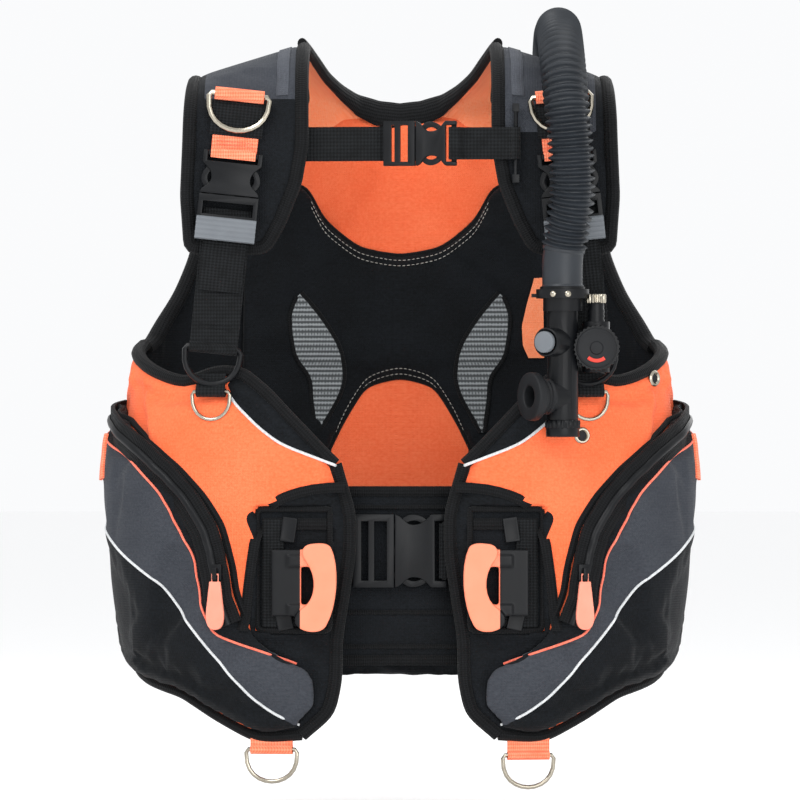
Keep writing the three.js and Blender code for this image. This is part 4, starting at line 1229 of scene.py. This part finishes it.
def laidOn(rows):
    # cords and tapes that follow the cloth: name, route, lift off the cloth, rise above that, profile and finish
    made = []
    for name, route, lift, rise, profile, finish, slotName in rows:
        line, ups = follow(clothTree, route, lift=lift)
        line = [p + u * rise for p, u in zip(line, ups)]
        made.append((sweep(f"left{name}", line, ups, profile), finish, slotName))
    return made


lobeEdging = []
for name, route, wide, thick in (
    ("FrontEdge", lobeEdges[2], 6.0, 6.5),
    ("ArmEdge", lobeEdges[1], 5.5, 6.5),
    ("HemEdge", lobeEdges[0], 5.0, 6.0),
):
    line, ups = edgeLine(route, 9.5)
    binding = sweep(f"leftLobe{name}", even(line), ups, rounded(wide, thick, 12))
    lobeEdging.append((binding, bindingTape, "black_nylon"))
keepPairs(lobeEdging + laidOn((
    ("NeckPiping", neckPiping, 0.4, 0, rounded(1.3, 1.3, 8), silverPiping, "grey_nylon"),
    ("RecessTape", recessLine, 0.2, 0, tape(9, 1.4), bindingTape, "black_nylon"),
)))
flapLine = [(a - 4.0, z + 6) for a, z in zipLine]
keepPairs(laidOn((
    ("PocketPiping", coralLine, 0.3, 0, rounded(1.1, 1.1, 8), coralPiping, "coral_webbing"),
    ("PocketSilver", whiteLine, 0.3, 0, rounded(1.2, 1.2, 8), silverPiping, "grey_nylon"),
    ("ZipTape", zipLine, 0.6, 0, tape(25, 1.6, 2.0), bindingTape, "black_nylon"),
    ("ZipRidge", zipLine, 0.6, 2.6, rounded(3.6, 2.2, 8), blackAcetal, "black_plastic"),
    ("ZipFlapEdge", flapLine, 0.2, 0, rounded(3.2, 2.4, 8), bindingTape, "black_nylon"),
)))
print("trim made")


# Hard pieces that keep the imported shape: edges are rounded and the faces smoothed
def finished(node, material, slotName, width=0.5, segments=2, crease=32):
    source = frame["nodes"][node]
    o = source.copy()
    o.data = source.data.copy()
    o.name = "".join(w.capitalize() if i else w for i, w in enumerate(node.split("_"))) + "Finish"
    scene.collection.objects.link(o)
    o.parent = None
    o.modifiers.clear()
    o.data.transform(source.matrix_world)
    o.matrix_world = Matrix()
    body = bmesh.new()
    body.from_mesh(o.data)
    bmesh.ops.remove_doubles(body, verts=body.verts, dist=0.02 * mm)
    bmesh.ops.dissolve_limit(body, angle_limit=math.radians(4), verts=body.verts, edges=body.edges)
    bmesh.ops.recalc_face_normals(body, faces=body.faces)
    body.to_mesh(o.data)
    body.free()
    modifier(o, "BEVEL", width=width * mm, segments=segments, limit_method="ANGLE", angle_limit=math.radians(crease),
             harden_normals=False)
    applyAll(o)
    shadeSmooth(o, crease)
    if "flow" not in o.data.uv_layers:
        o.data.uv_layers.new(name="flow")
        flowUV(o, lambda p: np.stack([p[:, 0] + p[:, 1], p[:, 2]], axis=1))
    o.data.materials.clear()
    keep(o, body_of(source)[0], slotName, node, material=material)
    return o


def softened(node, material, slotName, voxel=0.9, rounds=6):
    o = finished(node, material, slotName, width=0.2, segments=1)
    modifier(o, "REMESH", mode="VOXEL", voxel_size=voxel * mm)
    modifier(o, "SMOOTH", factor=0.5, iterations=rounds)
    applyAll(o)
    bpy.ops.object.shade_smooth()
    return o


for side in ("left", "right"):
    for name in ("buckle_female", "buckle_male"):
        finished(f"{side}_shoulder_{name}", blackAcetal, "black_plastic", 0.7)
    finished(f"{side}_strap_ring", blackAcetal, "black_plastic", 0.4)
    finished(f"{side}_shoulder_d_ring", steel, "stainless_steel", 0.4)
    finished(f"{side}_lobe_ring", steel, "stainless_steel", 0.3)
    finished(f"{side}_lower_d_ring", steel, "stainless_steel", 0.3)
    finished(f"{side}_shoulder_tab", coralWebbing, "coral_webbing", 0.4)
    finished(f"{side}_lower_tab", coralWebbing, "coral_webbing", 0.4)
    finished(f"{side}_shoulder_webbing", blackWebbing, "black_webbing", 0.3)
    finished(f"{side}_weight_pouch", blackNylon, "black_nylon", 1.6, 3)
    finished(f"{side}_zip_slider", blackAcetal, "black_plastic", 0.4)
    softened(f"{side}_zip_pull", coralPull, "coral_plastic", 0.5, 5)
    handle = softened(f"{side}_weight_handle", None, "coral_plastic", 0.9, 8)
    dress(handle, [softCoral, blackAcetal], lambda c, n: np.where(np.abs(c[:, 0]) > 87, 1, 0))
for name in ("waist_buckle_female", "waist_buckle_male"):
    finished(name, blackAcetal, "black_plastic", 0.8)
for name in ("chest_buckle_female", "chest_buckle_male"):
    finished(name, blackAcetal, "black_plastic", 0.6)
for name in ("chest_strap_left", "chest_strap_right", "waist_webbing_left", "waist_webbing_right"):
    finished(name, blackWebbing, "black_webbing", 0.4)
for name in (
    "chest_rail_left", "chest_rail_right", "backpack_plate", "cam_frame", "cam_lever", "dump_valve", "deflate_button",
    "shoulder_elbow",
):
    finished(name, blackAcetal, "black_plastic", 0.6)
finished("tank_band", blackWebbing, "black_webbing", 0.5)
finished("carrying_handle", blackWebbing, "black_webbing", 1.6, 3)
finished("dump_pull_knob", softCoral, "coral_plastic", 1.2, 3)
inflatorPiece = finished("inflator_body", blackAcetal, "black_plastic", 0.8, 3)
buttonPiece = finished("inflate_button", greyAcetal, "grey_plastic", 1.0, 3)
mouthPiece = finished("mouthpiece", softBlack, "soft_rubber", 2.0, 4)
print("hard pieces finished")


# The corrugated hose
hoseRoute = [
    (140, 113, -36), (140, 113, -10), (140, 97, 14), (140, 56, 29), (140, 0, 31.5), (140, -58, 28), (141, -112, 4),
    (144, -137, -35), (148, -142, -80), (149, -142, -120), (144, -138, -152), (141, -136, -176), (141, -136, -199.7),
]


def throughPoints(points, each=24):
    # a centripetal curve through the points
    p = [np.array(q, dtype=float) for q in points]
    p = [2 * p[0] - p[1]] + p + [2 * p[-1] - p[-2]]
    out = []
    for i in range(1, len(p) - 2):
        q = p[i - 1 : i + 3]
        t = np.concatenate([[0], np.cumsum([math.sqrt(np.linalg.norm(b - a)) for a, b in zip(q, q[1:])])])
        for x in np.linspace(t[1], t[2], each, endpoint=False):
            a = [((t[k + 1] - x) * q[k] + (x - t[k]) * q[k + 1]) / (t[k + 1] - t[k]) for k in range(3)]
            b = [((t[k + 2] - x) * a[k] + (x - t[k]) * a[k + 1]) / (t[k + 2] - t[k]) for k in range(2)]
            out.append(((t[2] - x) * b[0] + (x - t[1]) * b[1]) / (t[2] - t[1]))
    return np.array(out + [p[-2]])


def makeHose():
    rough = throughPoints(hoseRoute)
    far = lengthsAlong(rough)
    length, pitch, sides = far[-1], 6.4, 40
    at = np.arange(0, length, pitch / 8)
    at = np.append(at, length)
    line = np.array([[np.interp(w, far, rough[:, k]) for k in range(3)] for w in at])
    tangent = np.gradient(line, axis=0)
    tangent /= np.linalg.norm(tangent, axis=1)[:, None]
    points = []
    for i, w in enumerate(at):
        aside = unitOf(np.array([1.0, 0, 0]) - tangent[i] * tangent[i][0])
        up = np.cross(aside, tangent[i])
        cuff = w < 26 or w > length - 37
        ridge = 0.5 + 0.5 * math.cos(2 * math.pi * w / pitch)
        radius = 17.6 if cuff else 15.6 + 4.5 * ridge**1.3
        if w > length - 3 or (cuff and abs(w - (length - 35)) < 2):
            radius = 18.4
        for k in range(sides):
            a = 2 * math.pi * k / sides
            lean = 0 if cuff else 2.2 * abs(math.sin(a)) ** 0.8
            points.append(line[i] + (aside * math.cos(a) + up * math.sin(a)) * radius + tangent[i] * lean)
    o = newMesh("corrugatedHose", np.array(points) * mm, tubeFaces(len(at), sides))
    recalc(o)
    shadeSmooth(o, 60)
    keep(o, "vest", "hose_rubber", "corrugated_hose", material=ribbedRubber)
    path = (line[::4] * mm).tolist() + [(line[-1] * mm).tolist()]
    return o, path, length * mm


hoseTube, hosePath, hoseLength = makeHose()
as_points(hosePath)
print("hose made")


# Small fittings
def block(name, centre, size, facing, turn=0.0, corner=1.2, sink=0.8):
    # a moulded block: a sunk panel in its front face, and rounded edges. facing is its outward direction.
    deselect()
    bpy.ops.mesh.primitive_cube_add(size=1)
    o = bpy.context.object
    o.name = name
    bpy.ops.object.mode_set(mode="EDIT")
    mesh = bmesh.from_edit_mesh(o.data)
    for f in mesh.faces:
        f.select = f.normal.z > 0.9
    mesh.select_flush_mode()
    bmesh.update_edit_mesh(o.data)
    bpy.ops.mesh.inset(thickness=0.14)
    bpy.ops.transform.translate(value=(0, 0, -sink / size[2]))
    bpy.ops.object.mode_set(mode="OBJECT")
    n = unitOf(facing)
    side = unitOf(np.cross([0, 0, 1.0], n))
    up = np.cross(n, side)
    c, k = math.cos(math.radians(turn)), math.sin(math.radians(turn))
    side, up = side * c + up * k, up * c - side * k
    p = coords(o) * np.array(size)
    setCoords(o, (np.array(centre) + p[:, :1] * side + p[:, 1:2] * up + p[:, 2:] * n) * mm)
    modifier(o, "BEVEL", width=corner * mm, segments=3, limit_method="ANGLE")
    applyAll(o)
    shadeSmooth(o, 50)
    return o


def turned(name, centre, axis, outline, sides=40):
    # a turned piece: outline is (distance along the axis, radius) pairs
    axis = unitOf(axis)
    side, up = acrossAxis(axis)
    points = []
    for d, radius in outline:
        for k in range(sides):
            a = 2 * math.pi * k / sides
            points.append(np.array(centre) + axis * d + (side * math.cos(a) + up * math.sin(a)) * max(radius, 0.02))
    o = newMesh(name, np.array(points) * mm, tubeFaces(len(outline), sides))
    recalc(o)
    shadeSmooth(o, 35)
    return o


def knurled(name, centre, axis, outer, depth, teeth):
    # a ring of rounded ribs round an axis
    radii = [outer if k % 4 in (0, 1) else outer - 0.9 for k in range(teeth * 4)]
    axis = unitOf(axis)
    side, up = acrossAxis(axis)
    points = []
    for d, grow in ((0, -0.6), (0.6, 0), (depth - 0.6, 0), (depth, -0.6)):
        for k, radius in enumerate(radii):
            a = 2 * math.pi * k / len(radii)
            points.append(np.array(centre) + axis * d + (side * math.cos(a) + up * math.sin(a)) * (radius + grow))
    o = newMesh(name, np.array(points) * mm, tubeFaces(4, len(radii)))
    recalc(o)
    shadeSmooth(o, 40)
    return o


def strapPoint(x, y, z):
    # a place on the left shoulder strap: across it, in front of the yoke's face, and up from its middle
    c, k = math.cos(math.radians(6)), math.sin(math.radians(6))
    return np.array([144 + x * c - z * k, -102.8 + y, -71 + x * k + z * c])


def both(o, body, slotName, material):
    # the piece and its mirror image; SIDE in body becomes the side
    twin = mirrored(o, o.name.replace("left", "right"))
    keep(o, body.replace("SIDE", "left"), slotName, material=material)
    keep(twin, body.replace("SIDE", "right"), slotName, material=material)


def folded(name, path, width, thick, put):
    # webbing that runs along (y, z) points in a strap's own plane
    track = np.array(smoothLine(path, 60))
    line = even([put(0, y, z) for y, z in track])
    step = np.gradient(track, axis=0)
    ups = []
    for dy, dz in step:
        u = put(0, -dz, dy) - put(0, 0, 0)
        ups.append(u / np.linalg.norm(u))
    h, t = width / 2, thick / 2
    return sweep(name, line, ups, [(-h, -t * 0.7), (-h, t * 0.7), (-h + 0.5, t), (h - 0.5, t), (h, t * 0.7), (h, -t * 0.7),
                                   (h - 0.5, -t), (-h + 0.5, -t)])


# grey thumb bars on the shoulder buckles, and the loose end of each strap in front of its webbing
ridges = [(10.2, -1.5), (10.2, 1.0)]
for k in range(9):
    ridges += [(9.2 - 2.1 * k, 2.6 if k % 2 == 0 else 1.7), (8.2 - 2.1 * k, 2.6 if k % 2 == 0 else 1.7)]
ridges += [(-10.2, 1.0), (-10.2, -1.5)]
track = np.linspace(-26, 26, 14)
bar = sweep("leftThumbBar", [strapPoint(x, -11.3 + 0.9 * (abs(x) / 26) ** 3, -77) for x in track],
            [np.array([0, -1.0, 0])] * 14, ridges)
both(bar, "SIDE_shoulder_clip", "grey_plastic", greyAcetal)
tail = folded("leftStrapTail", [(-3.0, -80), (-4.4, -90), (-4.6, -112), (-4.4, -131)], 38, 1.7, strapPoint)
both(tail, "SIDE_shoulder_clip", "black_webbing", blackWebbing)
for k, z in enumerate((-160.5, -163.5)):
    line = [strapPoint(x, -3.2, z) for x in np.linspace(-17, 17, 20)]
    row = stitches(f"leftStrapStitches{k}", line, [np.array([0, -1.0, 0])] * 20, 3.0, 2.0)
    both(row, "vest", "black_webbing", bindingTape)

cover = folded("leftTabCover", [(-1.6, 35), (-3.0, 30), (-3.0, 10), (-1.6, 5)], 46, 1.6, strapPoint)
both(cover, "vest", "black_webbing", blackWebbing)

# sewn bar tacks on the coral tabs
for k, z in enumerate((44.5, 0, -3)):
    line = [strapPoint(x, -2.7, z) for x in np.linspace(-19, 19, 20)]
    row = stitches(f"leftTabStitches{k}", line, [np.array([0, -1.0, 0])] * 20, 3.0, 2.0)
    both(row, "vest", "coral_webbing", coralPiping)

# the tab that holds each small ring to its lobe
ringAt = onBody(frontAngle(165, -289), -289)
spin = math.radians(12)


def ringPoint(x, y, z):
    c, k = math.cos(spin), math.sin(spin)
    return ringAt + np.array([x * c - y * k, x * k + y * c - 3.1, z])


tabFold = [(2.4, 16), (0.6, 9), (-3.0, 2.5), (-3.6, -1.2), (0, -3.8), (2.6, -2), (3.4, 3)]
tab = folded("leftRingTab", tabFold, 26, 1.5, ringPoint)
both(tab, "vest", "black_webbing", blackWebbing)

# coral finger tabs at the zips' upper ends
line, ups = follow(clothTree, [(83, -326), (82.5, -345), (81, -366)], lift=1.2)
both(sweep("leftZipEndTab", line, ups, tape(12, 1.8)), "vest", "coral_webbing", coralWebbing)

# weight pouch fittings: two knuckles, a middle plate and a webbing strip
for name, x, z, size, turn in (
    ("Upper", 97, -409, (13, 22, 4), 8),
    ("Lower", 101, -488, (14, 17, 4), -12),
    ("Middle", 94, -452, (17, 36, 4), 0),
):
    a = frontAngle(x, z)
    o = block(f"left{name}Knuckle", onBody(a, z, 1.2), size, outward(a, z), turn)
    both(o, "SIDE_weight_pocket", "black_plastic", blackAcetal)
line = [onBody(frontAngle(111, z), z, 3.2) for z in np.linspace(-400, -494, 26)]
ups = [outward(frontAngle(111, z), z) for z in np.linspace(-400, -494, 26)]
both(sweep("leftPouchStrip", line, ups, tape(19, 2.0)), "SIDE_weight_pocket", "black_webbing", blackWebbing)
for z in (-404, -488):
    line = [onBody(frontAngle(x, z), z, 3.2) for x in np.linspace(64, 120, 26)]
    ups = [outward(frontAngle(x, z), z) for x in np.linspace(64, 120, 26)]
    both(sweep(f"leftPouchHem{-z}", line, ups, tape(10, 1.4)), "SIDE_weight_pocket", "black_webbing", bindingTape)
corners = [(61, -391), (125, -391), (125, -497), (61, -497), (61, -391)]
line = []
for (x0, z0), (x1, z1) in zip(corners, corners[1:]):
    line += [(mix(x0, x1, t), mix(z0, z1, t)) for t in np.linspace(0, 1, 22)[:-1]]
ups = [outward(frontAngle(x, z), z) for x, z in line]
points = even([onBody(frontAngle(x, z), z, 2.4) for x, z in line])
both(sweep("leftRecessEdge", points, ups, rounded(2.6, 2.2, 8), closed=True), "vest", "black_nylon", bindingTape)

# grommets in the left lobe
for k, (x, z) in enumerate(((227, -277), (158, -327))):
    a = frontAngle(x, z)
    here = onSurface(clothTree, a, z, 0.9)
    rim = [(-1, 7.2), (0.4, 7.2), (1.5, 6.2), (1.5, 5.0), (0.2, 4.0), (-1, 4.0)]
    ring = turned(f"lobeGrommet{k}", here, outward(a, z), rim)
    keep(ring, "vest", "stainless_steel", material=steel)
    # a black disc in each grommet's hole: painted shade for the dark inside seen through it
    holeShade = turned(f"lobeGrommetHole{k}", here, outward(a, z), [(-1.5, 4.1), (0.1, 4.1), (0.3, 3.0), (0.3, 0.0)])
    keep(holeShade, "vest", "soft_rubber", material=softBlack)

# orange facing inside the left wing, in the lighter orange that has painted light for the shade it lies in
facing = []
for i in range(20):
    z = mix(-186, -258, i / 19)
    near = along([(0, 128), (0.3, 121), (0.6, 115), (0.85, 116), (1, 121)], i / 19)
    facing += [onInside(mix(near, 136, j / 5), z, 1.2)[0] for j in range(6)]
wing = clothSheet("leftWingFacing", facing, 6, 1.4, roundBody, offset=-1, crease=60)
keep(wing, "vest", "orange_nylon", material=orangeNylonPaintedLight)

# inflator: hose clamp, studs, ribbed inlet housing, quick connector and button ring
unit = np.array([141.0, -136.0, -204.0])


def fit(o, slotName, finish):
    keep(o, "vest", slotName, material=finish)


clampOutline = [(0, 18.2), (0.4, 19.6), (3.2, 19.6), (3.6, 20.6), (6.4, 20.6), (7.0, 19.4)]
fit(turned("hoseClamp", unit + [0, 0, 6.5], (0, 0, -1), clampOutline), "black_plastic", blackAcetal)
for k, x in enumerate((-9, 4)):
    way = np.array([x, -math.sqrt(23.4**2 - x * x), 0])
    head = [(-1, 2.6), (0.4, 2.6), (1.1, 1.8), (1.3, 0.2)]
    stud = turned(f"collarStud{k}", unit + way + [0, 0, -0.4], way, head, 20)
    fit(stud, "stainless_steel", steel)
inlet = unit + [29, -10, -47]
fit(knurled("inletHousingRibs", inlet + [0, -2.2, 0], (0, 1, 0), 20.2, 13, 30), "black_plastic", blackAcetal)
capOutline = [(0, 17.5), (1.2, 17), (1.8, 15.5), (1.2, 13), (1.2, 6), (2.2, 5), (2.6, 0)]
fit(turned("inletHousingCap", inlet + [0, -2.4, 0], (0, -1, 0), capOutline), "grey_plastic", softBlack)
arc = [inlet + [11 * math.cos(t), -4.2, 11 * math.sin(t)] for t in np.linspace(-2.3, -0.9, 16)]
fit(sweep("inletWarningArc", arc, [np.array([0, -1.0, 0])] * 16, rounded(1.6, 0.6)), "coral_plastic", softRed)
quick = unit + [29, 0, -8]
fit(knurled("quickConnector", quick, (0, 0, 1), 8.8, 7.6, 18), "stainless_steel", steel)
stemOutline = [(0, 7.0), (2, 7.4), (4, 6.8), (6, 7.4), (8, 6.8), (10, 7.4), (12, 6.8), (16, 6.8)]
fit(turned("quickConnectorStem", quick + [0, 0, -17], (0, 0, 1), stemOutline), "black_plastic", blackAcetal)
press = np.array([-0.55, -0.835, 0.0])
ringOutline = [(-3, 12.8), (0, 12.8), (1.2, 12.2), (1.6, 11.2), (0.9, 10.1), (-3, 10.1)]
fit(turned("inflateButtonRing", unit + press * 26.2 + [0, 0, -42], press, ringOutline), "black_plastic", blackAcetal)
fit(knurled("bottomCapRibs", unit + [0, 0, -109.5], (0, 0, -1), 15.4, 7, 22), "black_plastic", blackAcetal)
bite = np.array([-0.88, -0.47, 0.0])
bellowsOutline = [(0, 14.6), (2, 15.6), (4, 14.2), (6, 15.6), (8, 14.2), (9, 15.2)]
fit(turned("mouthpieceBellows", unit + bite * 13 + [0, 0, -89], bite, bellowsOutline), "soft_rubber", softBlack)
print("fittings made")
